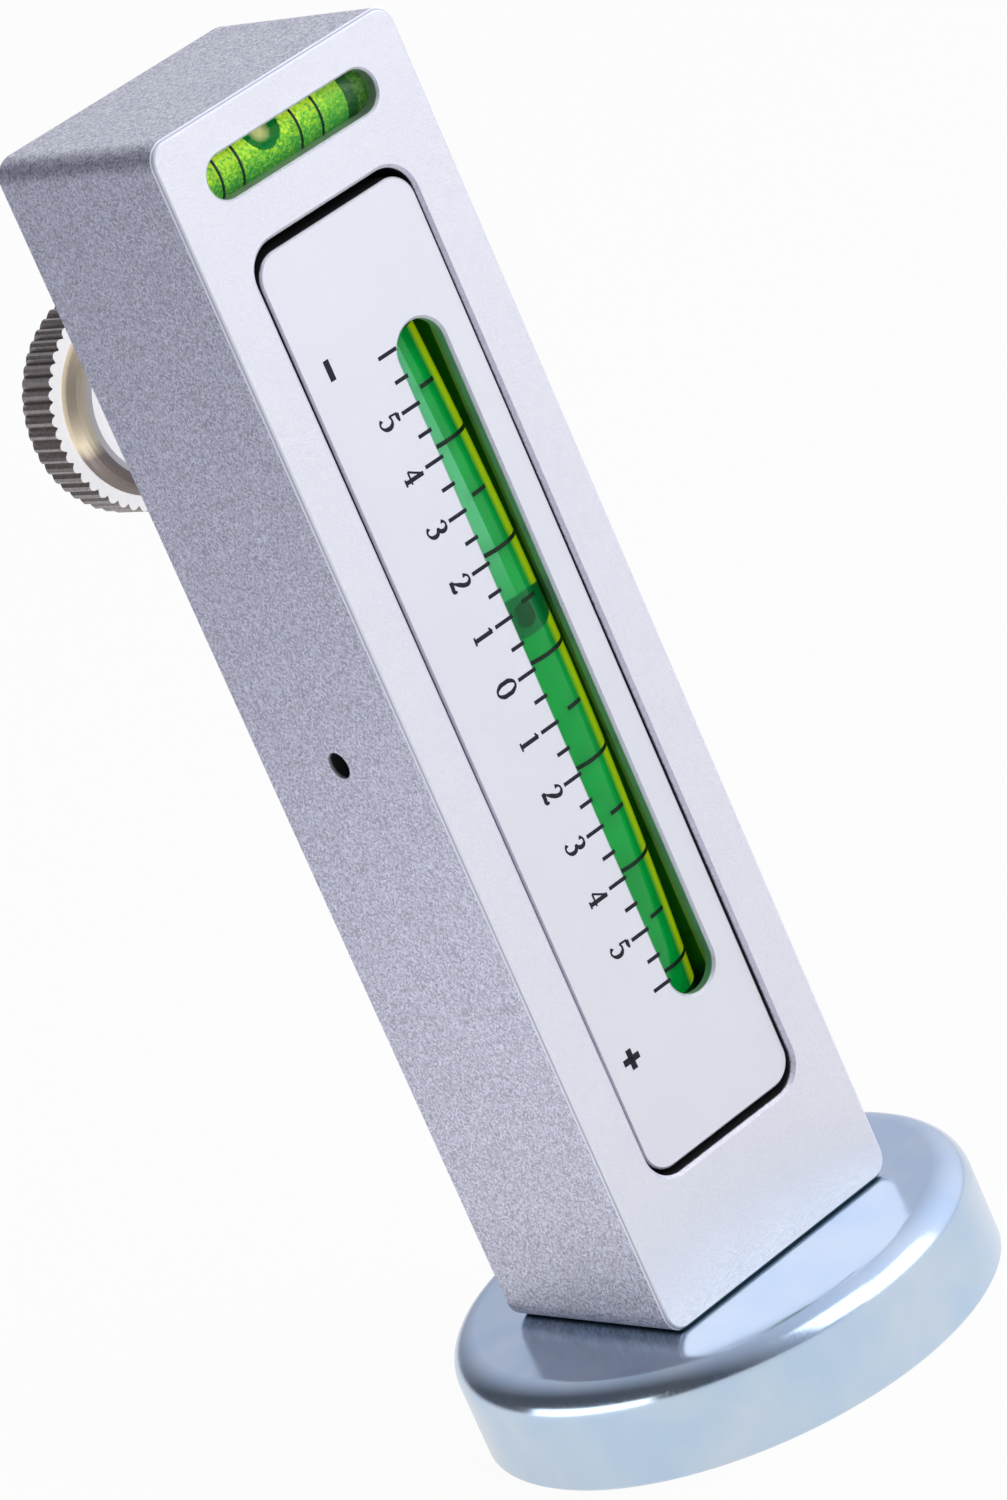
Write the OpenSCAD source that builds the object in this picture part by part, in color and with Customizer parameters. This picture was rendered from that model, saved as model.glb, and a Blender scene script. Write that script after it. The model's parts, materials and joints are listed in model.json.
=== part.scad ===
// Wheel alignment gauge with a magnetic foot: an aluminium block with a cross level, and a bent
// camber vial in a carrier that tilts on a cross pin when the knurled knob at the back is turned.
//
// Millimetres. +Z is up, -Y is the front. The origin is the centre of the foot's underside.

/* [Body] */
// Width of the block
body_w = 28.6; // [26.6:0.1:34]
// Depth of the block, front to back
body_d = 23; // [22:0.1:28]
// Height of the block above the magnet
body_h = 116; // [112:0.5:130]
// Radius of the block's four corners, seen from the front
body_corner_r = 2; // [1:0.1:4]
// Bevel round the block's front and back faces
body_bevel = 0.35; // [0.1:0.05:0.8]

/* [Pocket] */
// Width of the pocket that holds the carrier
pocket_w = 18.7; // [18.2:0.1:20.4]
// Metal left below the pocket
pocket_sill = 12.4; // [11:0.05:16]
// Metal left above the pocket
pocket_head = 12.25; // [11.2:0.05:16]
// Radius of the pocket's corners
pocket_corner_r = 3; // [2.4:0.1:4]
// Bevel round the pocket's mouth
pocket_bevel = 0.3; // [0.1:0.05:0.6]

/* [Carrier] */
// Gap between the pocket and the carrier at the left side
carrier_gap_left = 0.3; // [0.2:0.05:1.2]
// Gap between the pocket and the carrier at the right side
carrier_gap_right = 0.1; // [0.1:0.05:0.8]
// Gap between the pocket and the carrier at the top
carrier_gap_top = 0.95; // [0.8:0.05:2]
// Gap between the pocket and the carrier at the bottom
carrier_gap_bottom = 0.7; // [0.7:0.05:2]
// How far the scale face lies behind the block's front face, at the pivot
carrier_recess = 0.4; // [0.3:0.05:1.5]
// Thickness of the carrier bar, without its cover
carrier_t = 13.7; // [13.2:0.05:14.5]
// Radius of the carrier's corners
carrier_corner_r = 2.5; // [2:0.1:3.5]
// Bevel round the scale face
carrier_bevel = 0.2; // [0.1:0.05:0.5]
// Lean of the carrier as it is stored, its top standing forward, in degrees
rest_tilt = 0.26; // [0:0.02:0.6]
// Room behind the carrier for its swing
swing_room = 2; // [2:0.1:3]
// Thickness of the plate that closes the carrier's back
cover_t = 1.2; // [1.2:0.1:1.6]

/* [Window] */
// Width of the window over the camber vial
window_w = 5.3; // [4:0.1:6.5]
// Distance from the carrier's ends to the window
window_margin = 11.85; // [11:0.05:16]
// Distance from the carrier's middle to the window's centre line
window_offset = 3.45; // [3:0.05:3.6]
// Thickness of the lip round the window
window_lip = 1.1; // [0.8:0.05:1.4]
// Bevel round the window
window_bevel = 0.25; // [0.1:0.05:0.4]

/* [Camber vial] */
// Distance along the scale for one degree, which sets how strongly the tube is bent
degree_pitch = 5.18; // [4.8:0.02:5.6]
// Height of the scale's zero above the carrier's middle
scale_rise = 0.7; // [0:0.05:0.8]
// Outer diameter of the bent tube
camber_tube_d = 8; // [7:0.1:8]
// Wall of the bent tube
camber_tube_wall = 0.9; // [0.6:0.05:1.2]
// Length of each of its end stoppers
camber_stopper_l = 2; // [2:0.1:5]
// Length of the bubble along the tube
camber_bubble_l = 3.9; // [3:0.1:6]
// Width of the bubble
camber_bubble_w = 3; // [2:0.1:4]
// Where the middle of the bubble stands on the scale, in degrees above zero
camber_bubble_at = 0.75; // [-4:0.05:4]
// Gap between the tube's crown and the lip
crown_gap = 0.1; // [0.05:0.01:0.2]
// Room beside the tube in its channel
channel_side_gap = 0.5; // [0.4:0.05:0.6]
// Metal left above the tube's channel
channel_end_wall = 7; // [6.9:0.05:9]
// Room past each end of the tube in its channel
channel_end_gap = 0.5; // [0.3:0.05:0.8]
// How far the moulded bed stays behind the tube's axis at the crown
bed_setback = 2.2; // [2.2:0.05:2.6]
// Clearance round the bed and between the bed and the tube
bed_clearance = 0.05; // [0.02:0.01:0.08]

/* [Cross level] */
// Width of the slot over the cross level
slot_w = 19.6; // [17:0.1:21]
// Height of the slot
slot_h = 4; // [3:0.1:4.6]
// Depth of the level's axis below the top of the block
level_drop = 5.6; // [5.2:0.05:6.2]
// Metal left in front of the level's bore
level_skin = 1.1; // [0.8:0.05:2]
// Bevel round the slot
slot_bevel = 0.2; // [0.1:0.05:0.4]
// Outer diameter of the level's tube
level_tube_d = 6; // [5:0.1:6.4]
// Wall of the level's tube
level_tube_wall = 0.8; // [0.5:0.05:1]
// Length of the level's tube
level_tube_l = 22; // [19:0.1:22.4]
// Metal left at the blind end of the level's bore
level_end_wall = 1.9; // [1.5:0.05:3]
// Radial clearance round the level's tube
level_clearance = 0.1; // [0.05:0.01:0.2]
// Length of each of its end stoppers
level_stopper_l = 2.2; // [0.5:0.1:2.5]
// Diameter of the level's round bubble
level_bubble_d = 3.5; // [2.5:0.1:4]
// Distance from the tube's middle to the bubble, positive to the left
level_bubble_shift = -0.4; // [-2:0.05:2]
// How far the plug is sunk in the right side face
plug_sink = 0.3; // [0:0.05:0.8]
// Gap between the plug and the end of the level's tube
plug_gap = 0.1; // [0.05:0.05:0.3]

/* [Pivot] */
// Diameter of the cross pin
pivot_pin_d = 2.5; // [2:0.1:2.6]
// Depth of the pin's axis behind the block's front face
pivot_depth = 11.5; // [11.5:0.05:12]
// Distance of the pin below the carrier's middle
pivot_drop = 0.45; // [0:0.05:1]
// How far the pin is sunk in the left side face
pin_sink = 2; // [1:0.1:3]
// Metal left at the pin's blind end
pin_end_wall = 1.5; // [1:0.1:2.5]
// Radial clearance of the pin
pin_clearance = 0.05; // [0.02:0.01:0.1]
// Extra radius of the pin's way through the moulded bed
pin_way = 0.2; // [0.15:0.05:0.3]

/* [Adjuster] */
// Outer diameter of the screw's thread
screw_d = 5; // [4:0.1:6]
// Radial clearance of the screw in the block
screw_clearance = 0.05; // [0.03:0.01:0.1]
// Height of the screw above the pivot
adjust_lever = 29.7; // [26:0.1:34]
// Exposed length of the screw between the block and the knob
screw_reach = 12.85; // [8:0.05:20]
// Diameter of the pad on the screw's tip
pad_d = 7; // [6:0.1:9]
// Thickness of the pad, without its domed nose
pad_t = 2.2; // [2:0.1:2.6]
// Height of the pad's domed nose
pad_dome = 0.4; // [0.3:0.05:0.6]
// Gap between the pad's nose and the carrier's cover
pad_gap = 0.15; // [0.12:0.01:0.25]
// Radial clearance round the pad in its counterbore
pad_clearance = 0.5; // [0.3:0.05:0.8]
// Travel left behind the pad in its counterbore
pad_travel = 1.4; // [1.2:0.1:2]
// Diameter of the screw's tip inside the pad
tip_d = 2.6; // [2:0.1:3]
// Length of the screw's tip inside the pad
tip_l = 1.4; // [1:0.1:1.6]
// Running clearance between the tip and the pad
tip_clearance = 0.06; // [0.03:0.01:0.1]

/* [Knob] */
// Diameter over the knurl
knob_d = 21; // [16:0.2:24]
// Width of the knurled band
knob_t = 4.75; // [3:0.05:8]
// Number of teeth in the knurl
knurl_teeth = 54; // [24:1:60]
// Depth of the knurl's grooves
knurl_depth = 0.5; // [0.2:0.05:0.7]
// Number of flats that round each tooth
knurl_flats = 4; // [2:2:8]
// Width of the flat rim round the boss
knob_rim = 1.4; // [0.8:0.05:2]
// Length of the rounded boss on the side towards the block
boss_l = 1.8; // [0.5:0.05:3]
// Narrowing of the boss from the rim to its end face
boss_taper = 2; // [1:0.05:3]
// How far the sides of the boss bulge
boss_bulge = 0.35; // [0.05:0.05:0.5]
// Bevel round the knob's outer face, inside the knurl's grooves
knob_bevel = 0.1; // [0.05:0.05:0.6]
// Depth of the turned recess in the knob's outer face
knob_dish = 0.5; // [0.2:0.05:1]
// How far the screw's end is sunk in the knob
screw_end_sink = 0.2; // [0:0.05:0.5]
// Width of the slot in the screw's end
screw_slot_w = 0.9; // [0.6:0.1:1.4]
// Depth of the slot in the screw's end
screw_slot_depth = 0.8; // [0.5:0.1:1.5]

/* [Return spring] */
// Distance of the spring below the pivot
spring_lever = 29.7; // [24:0.1:33]
// Outer diameter of the spring
spring_d = 3.8; // [3:0.1:5]
// Wire of the spring
spring_wire = 0.45; // [0.3:0.05:0.6]
// Turns of the spring
spring_turns = 5; // [4:1:7]
// Radial clearance round the spring in its bore
spring_clearance = 0.25; // [0.15:0.05:0.5]
// Metal left behind the spring's bore
spring_floor = 1.2; // [0.8:0.1:2]

/* [Cover screws] */
// Diameter of the cover's screws
cover_screw_d = 2; // [1.6:0.1:2.4]
// Diameter of their countersunk heads
cover_screw_head_d = 3.8; // [3:0.1:4.2]
// Height of their heads
cover_screw_head_h = 0.9; // [0.8:0.05:1]
// Length of the screws under the cover
cover_screw_l = 4.4; // [3:0.1:6]
// Distance of the screws from the carrier's ends
cover_screw_inset_z = 3.6; // [3:0.1:4]
// Distance of the screws from the carrier's sides
cover_screw_inset_x = 3.2; // [2.5:0.1:5]
// Clearance round the screws and their heads
cover_screw_clearance = 0.04; // [0.02:0.01:0.06]
// Width of the slot in each head
cover_screw_slot = 0.5; // [0.4:0.05:0.6]

/* [Magnet] */
// Diameter of the steel cup
cup_d = 50; // [44:0.5:60]
// Height of the cup
cup_h = 10; // [9:0.1:14]
// Wall of the cup
cup_wall = 2.5; // [1.5:0.1:3.5]
// Thickness of the cup's top
cup_top = 2.5; // [2:0.1:3.5]
// Rounding of the cup's top edge
cup_edge_r = 2.75; // [1:0.05:3]
// Bevel round the rim of the cup's underside
cup_foot_bevel = 0.3; // [0.1:0.05:0.6]
// Resin between the ring magnet and the cup's wall
potting_gap = 0.75; // [0.4:0.05:1.5]
// Inner diameter of the ring magnet
ring_hole_d = 22; // [18:0.5:26]
// Diameter of the steel pole in the middle
pole_d = 16; // [12:0.5:16.5]
// How far the magnet's face lies above the rim and the pole
magnet_recess = 0.3; // [0.1:0.05:0.6]
// Diameter of the stud that holds the foot
stud_d = 5; // [4:0.5:6]
// Length of the stud inside the pole
stud_in_pole = 4.8; // [3:0.1:5]
// Length of the stud inside the block
stud_in_body = 8; // [6:0.1:8.5]
// Clearance of the stud in its threads
stud_clearance = 0.02; // [0.01:0.01:0.05]
// Radial clearance of the stud in the cup
stud_cup_clearance = 0.25; // [0.1:0.05:0.5]
// Room left at the stud's ends
stud_end_gap = 0.2; // [0.1:0.05:0.5]

/* [Hidden] */
$fn = 72;

// How far a cutting shape runs past the surface that it cuts
cut = 1;
// Smoothness of the long, slightly bent shapes
bow_fn = 720;
// Smallest gap between liquid or stopper and glass
glass_gap = 0.01;
// How far a bubble is pressed against the glass
glass_contact = 0.15;
// Half of the flat left between the round ends of a slot
least_flat = 0.001;
// Gap between the return spring's end and the cover
spring_end_gap = 0.03;

// Block
front_y = -body_d / 2;
back_y = body_d / 2;
body_z0 = cup_h;
body_z1 = body_z0 + body_h;

// Carrier, before it is tilted
pocket_z0 = body_z0 + pocket_sill;
pocket_z1 = body_z1 - pocket_head;
carrier_x0 = -pocket_w / 2 + carrier_gap_left;
carrier_x1 = pocket_w / 2 - carrier_gap_right;
carrier_z0 = pocket_z0 + carrier_gap_bottom;
carrier_z1 = pocket_z1 - carrier_gap_top;
carrier_w = carrier_x1 - carrier_x0;
carrier_h = carrier_z1 - carrier_z0;
carrier_x = (carrier_x0 + carrier_x1) / 2;
carrier_z = (carrier_z0 + carrier_z1) / 2;
carrier_front_y = front_y + carrier_recess;
carrier_back_y = carrier_front_y + carrier_t;
cover_back_y = carrier_back_y + cover_t;
pocket_floor_y = cover_back_y + swing_room;
pivot_y = front_y + pivot_depth;
pivot_z = carrier_z - pivot_drop;

// Camber vial
bow_r = degree_pitch * 180 / PI;
camber_x = carrier_x + window_offset;
scale_zero_z = carrier_z + scale_rise;
crown_y = carrier_front_y + window_lip + crown_gap + camber_tube_d / 2;
camber_stopper_angle = camber_stopper_l / bow_r * 180 / PI;
camber_bore_r = camber_tube_d / 2 - camber_tube_wall;
channel_w = camber_tube_d + 2 * channel_side_gap;
channel_h = 2 * (carrier_z1 - channel_end_wall - scale_zero_z);
channel_corner_r = 2;
channel_y = carrier_front_y + window_lip;
camber_half_angle = asin((channel_h / 2 - channel_end_gap) / (bow_r + camber_tube_d / 2));
window_h = carrier_h - 2 * window_margin;

// Cross level
level_z = body_z1 - level_drop;
level_bore_r = level_tube_d / 2 + level_clearance;
level_y = front_y + level_skin + level_bore_r;
level_x0 = -body_w / 2 + level_end_wall + level_clearance;
level_x1 = level_x0 + level_tube_l;
level_inner_r = level_tube_d / 2 - level_tube_wall;

// Adjuster: the cover's back face at a height h from the pivot, with the carrier at rest
function cover_y_at(h) = pivot_y + (cover_back_y - pivot_y) / cos(rest_tilt) - h * tan(rest_tilt);
adjust_z = pivot_z + adjust_lever;
pad_nose_y = cover_y_at(adjust_lever) + pad_gap;
pad_back_y = pad_nose_y + pad_dome + pad_t;
screw_front_y = pad_back_y + 2 * tip_clearance;
counterbore_y = pad_back_y + pad_travel;
boss_face_y = back_y + screw_reach;
rim_y = boss_face_y + boss_l;
knob_back_y = rim_y + knob_t;
boss_base_r = knob_d / 2 - knob_rim;
boss_face_r = boss_base_r - boss_taper;

// Return spring
spring_z = pivot_z - spring_lever;
spring_bore_y = back_y - spring_floor;
spring_front_y = cover_y_at(-spring_lever) + spring_end_gap;

// Magnet
cavity_r = cup_d / 2 - cup_wall;
cavity_z = cup_h - cup_top;
ring_r = cavity_r - potting_gap;

// ---- Shapes shared by several pieces ----

// Half outline of a flat block seen along one side: a is half its width, and the bevels
// narrow the ends at y0 and y1; a negative bevel widens its end.
function bevelled_side(a, y0, y1, bevel0, bevel1) = concat(
    [[a - bevel0, y0]],
    bevel0 == 0 ? [] : [[a, y0 + abs(bevel0)]],
    bevel1 == 0 ? [] : [[a, y1 - abs(bevel1)]],
    [[a - bevel1, y1]]);

function mirrored(points) = [for (i = [len(points) - 1:-1:0]) [-points[i][0], points[i][1]]];

// Turns a shape drawn round Z so that it lies along Y, from front to back
module along_y() {
    rotate([-90, 0, 0]) children();
}

// Block centred on X and Z, with rounded corners and bevelled or flared front and back edges
module rounded_block(w, h, y0, y1, r, bevel0 = 0, bevel1 = 0) {
    across = bevelled_side(w / 2, y0, y1, bevel0, bevel1);
    upright = bevelled_side(h / 2, y0, y1, bevel0, bevel1);
    column = bevelled_side(r, y0, y1, bevel0, bevel1);
    linear_extrude(h - 2 * r, center = true)
        polygon(concat(across, mirrored(across)));
    rotate([0, -90, 0])
        linear_extrude(w - 2 * r, center = true)
            polygon(concat(upright, mirrored(upright)));
    for (x = [-1, 1], z = [-1, 1])
        translate([x * (w / 2 - r), 0, z * (h / 2 - r)])
            along_y()
                rotate_extrude()
                    polygon(concat([[0, y0]], column, [[0, y1]]));
}

// Cylinder along X from x0 to x1
module rod_x(d, x0, x1) {
    translate([x0, 0, 0])
        rotate([0, 90, 0])
            cylinder(d = d, h = x1 - x0);
}

// Cylinder along Y from y0 to y1
module rod_y(d, y0, y1) {
    translate([0, y0, 0])
        along_y()
            cylinder(d = d, h = y1 - y0);
}

// Sweeps a flat shape along the bent tube's curve, from and to being degrees of the scale
module along_bow(from, to) {
    translate([camber_x, crown_y + bow_r, scale_zero_z])
        rotate([90, 0, 0])
            rotate([0, -90, 0])
                rotate([0, 0, from])
                    rotate_extrude(angle = to - from, $fn = bow_fn)
                        translate([bow_r, 0])
                            children();
}

// Leans the carrier's pieces about the pivot, as the gauge is stored
module carrier_at_rest() {
    translate([0, pivot_y, pivot_z])
        rotate([rest_tilt, 0, 0])
            translate([0, -pivot_y, -pivot_z])
                children();
}

// The four places of the cover's screws
module at_cover_screws() {
    for (x = [carrier_x0 + cover_screw_inset_x, carrier_x1 - cover_screw_inset_x],
         z = [carrier_z0 + cover_screw_inset_z, carrier_z1 - cover_screw_inset_z])
        translate([x, 0, z])
            children();
}

// ---- Housing ----

module pocket() {
    translate([0, 0, (pocket_z0 + pocket_z1) / 2])
        rounded_block(pocket_w, pocket_z1 - pocket_z0, front_y, pocket_floor_y,
            pocket_corner_r, -pocket_bevel);
    // carries the mouth of the cut past the front face
    translate([0, 0, (pocket_z0 + pocket_z1) / 2])
        rounded_block(pocket_w + 2 * pocket_bevel, pocket_z1 - pocket_z0 + 2 * pocket_bevel,
            front_y - cut, front_y, pocket_corner_r + pocket_bevel);
}

module level_slot() {
    translate([0, 0, level_z]) {
        rounded_block(slot_w, slot_h, front_y, level_y, slot_h / 2 - least_flat, -slot_bevel);
        rounded_block(slot_w + 2 * slot_bevel, slot_h + 2 * slot_bevel, front_y - cut, front_y,
            slot_h / 2 + slot_bevel - least_flat);
    }
}

module body_block() {
    color("gainsboro")
        difference() {
            translate([0, 0, (body_z0 + body_z1) / 2])
                rounded_block(body_w, body_h, front_y, back_y, body_corner_r, body_bevel, body_bevel);
            pocket();
            level_slot();
            // cross bore of the level, open at the right side
            translate([0, level_y, level_z])
                rod_x(2 * level_bore_r, level_x0 - level_clearance, body_w / 2 + cut);
            // cross bore of the pivot pin, open at the left side
            translate([0, pivot_y, pivot_z])
                rod_x(pivot_pin_d + 2 * pin_clearance, -body_w / 2 - cut, body_w / 2 - pin_end_wall);
            // adjusting screw's hole, and the counterbore that its pad draws back into
            translate([0, 0, adjust_z]) {
                rod_y(screw_d + 2 * screw_clearance, pocket_floor_y - cut, back_y + cut);
                rod_y(pad_d + 2 * pad_clearance, pocket_floor_y - cut, counterbore_y);
            }
            // blind bore of the return spring
            translate([0, 0, spring_z])
                rod_y(spring_d + 2 * spring_clearance, pocket_floor_y - cut, spring_bore_y);
            // tapped hole of the foot's stud
            translate([0, 0, body_z0 - cut])
                cylinder(d = stud_d + 2 * stud_clearance, h = cut + stud_in_body + stud_end_gap);
        }
}

module pivot_pin() {
    color("silver")
        translate([0, pivot_y, pivot_z])
            rod_x(pivot_pin_d, -body_w / 2 + pin_sink, body_w / 2 - pin_end_wall - pin_clearance);
}

// Points of one ring of the spring's wire, i of n along its helix
function wire_ring(i, n, r, lift, sides) =
    let (turn = 360 * spring_turns * i / n)
    [for (k = [0:sides - 1])
        let (a = 360 * k / sides, out = r + spring_wire / 2 * cos(a))
        [out * cos(turn), out * sin(turn), lift * i / n + spring_wire / 2 * sin(a)]];

module coil_spring(length) {
    sides = 6;
    steps = 12 * spring_turns;
    r = (spring_d - spring_wire) / 2;
    rings = [for (i = [0:steps]) wire_ring(i, steps, r, length - spring_wire, sides)];
    points = [for (ring = rings, p = ring) p];
    last = steps * sides;
    skin = [for (i = [0:steps - 1], k = [0:sides - 1])
        let (a = i * sides + k, b = i * sides + (k + 1) % sides)
        [a, a + sides, b + sides, b]];
    translate([0, 0, spring_wire / 2])
        polyhedron(points, concat(
            [[for (k = [0:sides - 1]) k]],
            skin,
            [[for (k = [sides - 1:-1:0]) last + k]]));
}

module return_spring() {
    color("dimgray")
        translate([0, spring_front_y, spring_z])
            along_y()
                coil_spring(spring_bore_y - spring_front_y);
}

module level_tube_section(r, x0, x1) {
    translate([0, level_y, level_z])
        rod_x(2 * r, x0, x1);
}

module level_vial_tube() {
    color("palegreen", 0.5)
        difference() {
            level_tube_section(level_tube_d / 2, level_x0, level_x1);
            level_tube_section(level_inner_r, level_x0 - cut, level_x1 + cut);
        }
}

module level_vial_fluid() {
    bubble_r = level_bubble_d / 2;
    color("yellowgreen")
        difference() {
            level_tube_section(level_inner_r - glass_gap, level_x0 + level_stopper_l,
                level_x1 - level_stopper_l);
            // the bubble rests against the front of the tube
            translate([(level_x0 + level_x1) / 2 - level_bubble_shift,
                level_y - level_inner_r + bubble_r - glass_contact, level_z])
                sphere(bubble_r);
        }
}

module level_vial_stopper_left() {
    color("darkgreen")
        level_tube_section(level_inner_r - glass_gap, level_x0, level_x0 + level_stopper_l);
}

module level_vial_stopper_right() {
    color("darkgreen")
        level_tube_section(level_inner_r - glass_gap, level_x1 - level_stopper_l, level_x1);
}

module level_bore_plug() {
    color("lightgray")
        level_tube_section(level_bore_r - glass_gap, level_x1 + plug_gap, body_w / 2 - plug_sink);
}

// ---- Magnetic foot ----

module magnet_cup() {
    color("lightsteelblue")
        rotate_extrude()
            difference() {
                union() {
                    polygon([[0, 0], [cup_d / 2 - cup_foot_bevel, 0], [cup_d / 2, cup_foot_bevel],
                        [cup_d / 2, cup_h - cup_edge_r], [cup_d / 2 - cup_edge_r, cup_h], [0, cup_h]]);
                    translate([cup_d / 2 - cup_edge_r, cup_h - cup_edge_r])
                        circle(cup_edge_r);
                }
                translate([-cut, -cut])
                    square([cut + cavity_r, cut + cavity_z]);
                translate([-cut, 0])
                    square([cut + stud_d / 2 + stud_cup_clearance, cup_h + cut]);
            }
}

module ring_between(r0, r1, z0, z1) {
    translate([0, 0, z0])
        difference() {
            cylinder(r = r1, h = z1 - z0);
            translate([0, 0, -cut])
                cylinder(r = r0, h = z1 - z0 + 2 * cut);
        }
}

module ring_magnet() {
    color("dimgray")
        ring_between(ring_hole_d / 2, ring_r, magnet_recess, cavity_z);
}

module magnet_potting() {
    color("black") {
        ring_between(ring_r, cavity_r, magnet_recess, cavity_z);
        ring_between(pole_d / 2, ring_hole_d / 2, magnet_recess, cavity_z);
    }
}

module pole_core() {
    color("silver")
        difference() {
            cylinder(d = pole_d, h = cavity_z);
            translate([0, 0, cavity_z - stud_in_pole - stud_end_gap])
                cylinder(d = stud_d + 2 * stud_clearance, h = stud_in_pole + stud_end_gap + cut);
        }
}

module base_stud() {
    color("gray")
        translate([0, 0, cavity_z - stud_in_pole])
            cylinder(d = stud_d, h = stud_in_pole + cup_top + stud_in_body);
}

// ---- Carrier ----

module vial_carrier() {
    color("whitesmoke")
        carrier_at_rest()
            difference() {
                translate([carrier_x, 0, carrier_z])
                    rounded_block(carrier_w, carrier_h, carrier_front_y, carrier_back_y,
                        carrier_corner_r, carrier_bevel);
                // window
                translate([camber_x, 0, carrier_z]) {
                    rounded_block(window_w, window_h, carrier_front_y, channel_y + cut,
                        window_w / 2 - least_flat, -window_bevel);
                    rounded_block(window_w + 2 * window_bevel, window_h + 2 * window_bevel,
                        carrier_front_y - cut, carrier_front_y,
                        window_w / 2 + window_bevel - least_flat);
                }
                // channel for the vial, cut from behind
                translate([camber_x, 0, scale_zero_z])
                    rounded_block(channel_w, channel_h, channel_y, carrier_back_y + cut,
                        channel_corner_r);
                // pivot bore
                translate([0, pivot_y, pivot_z])
                    rod_x(pivot_pin_d + 2 * pin_clearance, carrier_x0 - cut, carrier_x1 + cut);
                // tapped holes of the cover's screws
                at_cover_screws()
                    rod_y(cover_screw_d + 2 * cover_screw_clearance,
                        carrier_back_y - cover_screw_l - cover_screw_clearance, carrier_back_y + cut);
            }
}

module camber_vial_tube() {
    color("palegreen", 0.5)
        carrier_at_rest()
            along_bow(-camber_half_angle, camber_half_angle)
                difference() {
                    circle(d = camber_tube_d);
                    circle(r = camber_bore_r);
                }
}

// Round-ended bubble along Z
module bubble(r, straight_l) {
    cylinder(r = r, h = straight_l, center = true);
    for (end = [-1, 1])
        translate([0, 0, end * straight_l / 2])
            sphere(r);
}

module camber_vial_fluid() {
    bubble_r = camber_bubble_w / 2;
    straight_l = camber_bubble_l - 2 * bubble_r;
    liquid = camber_half_angle - camber_stopper_angle;
    // the bubble's axis, so near the front of the tube that it touches the glass
    rise = camber_bore_r - bubble_r + glass_contact;
    color("seagreen")
        carrier_at_rest()
            difference() {
                along_bow(-liquid, liquid)
                    circle(r = camber_bore_r - glass_gap);
                translate([camber_x, crown_y + bow_r, scale_zero_z])
                    rotate([-camber_bubble_at, 0, 0])
                        translate([0, -bow_r - rise, 0])
                            bubble(bubble_r, straight_l);
            }
}

module camber_stopper(from, to) {
    color("darkgreen")
        carrier_at_rest()
            along_bow(from, to)
                circle(r = camber_bore_r - glass_gap);
}

module camber_vial_stopper_upper() {
    camber_stopper(camber_half_angle - camber_stopper_angle, camber_half_angle);
}

module camber_vial_stopper_lower() {
    camber_stopper(-camber_half_angle, -camber_half_angle + camber_stopper_angle);
}

module vial_bed() {
    way_r = pivot_pin_d / 2 + pin_way;
    bed_front_y = crown_y + bed_setback;
    color("darkseagreen")
        carrier_at_rest()
            difference() {
                translate([camber_x, 0, scale_zero_z])
                    rounded_block(channel_w - 2 * bed_clearance, channel_h - 2 * bed_clearance,
                        bed_front_y, carrier_back_y, channel_corner_r - bed_clearance);
                // the tube's seat, which runs out at both ends
                along_bow(-camber_half_angle - 1, camber_half_angle + 1)
                    circle(r = camber_tube_d / 2 + bed_clearance);
                // way of the pivot pin
                translate([0, pivot_y, pivot_z]) {
                    rod_x(2 * way_r, camber_x - channel_w, camber_x + channel_w);
                    translate([camber_x - channel_w, bed_front_y - pivot_y - cut, -way_r])
                        cube([2 * channel_w, pivot_y - bed_front_y + cut, 2 * way_r]);
                }
            }
}

module carrier_cover() {
    color("lightgray")
        carrier_at_rest()
            difference() {
                translate([carrier_x, 0, carrier_z])
                    rounded_block(carrier_w, carrier_h, carrier_back_y, cover_back_y, carrier_corner_r);
                at_cover_screws() {
                    rod_y(cover_screw_d + 2 * cover_screw_clearance, carrier_back_y - cut,
                        cover_back_y + cut);
                    countersink(cover_screw_clearance);
                }
            }
}

// Cone of a countersunk head, wider all round by the clearance
module countersink(clearance) {
    translate([0, cover_back_y - cover_screw_head_h, 0])
        along_y()
            cylinder(d1 = cover_screw_d + 2 * clearance, d2 = cover_screw_head_d + 2 * clearance,
                h = cover_screw_head_h + (clearance > 0 ? glass_gap : 0));
}

module cover_screws() {
    color("gray")
        carrier_at_rest()
            at_cover_screws()
                difference() {
                    union() {
                        rod_y(cover_screw_d, carrier_back_y - cover_screw_l, cover_back_y);
                        countersink(0);
                    }
                    translate([-cover_screw_head_d, cover_back_y - cover_screw_head_h / 2,
                        -cover_screw_slot / 2])
                        cube([2 * cover_screw_head_d, cut, cover_screw_slot]);
                }
}

// ---- Adjuster ----

module thrust_pad() {
    // radius of the ball of which the nose is a part
    dome_r = (pow(pad_d / 2, 2) + pow(pad_dome, 2)) / (2 * pad_dome);
    color("peru")
        translate([0, 0, adjust_z])
            difference() {
                intersection() {
                    rod_y(pad_d, pad_nose_y, pad_back_y);
                    translate([0, pad_nose_y + dome_r, 0])
                        sphere(dome_r, $fn = 3 * $fn);
                }
                rod_y(tip_d + 2 * tip_clearance, pad_back_y - tip_l, pad_back_y + cut);
            }
}

module adjust_screw() {
    color("silver")
        translate([0, 0, adjust_z])
            difference() {
                union() {
                    rod_y(screw_d, screw_front_y, knob_back_y - knob_dish - screw_end_sink);
                    rod_y(tip_d, pad_back_y - tip_l + tip_clearance, screw_front_y + cut);
                }
                translate([-screw_d, knob_back_y - knob_dish - screw_end_sink - screw_slot_depth,
                    -screw_slot_w / 2])
                    cube([2 * screw_d, screw_slot_depth + cut, screw_slot_w]);
            }
}

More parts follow.
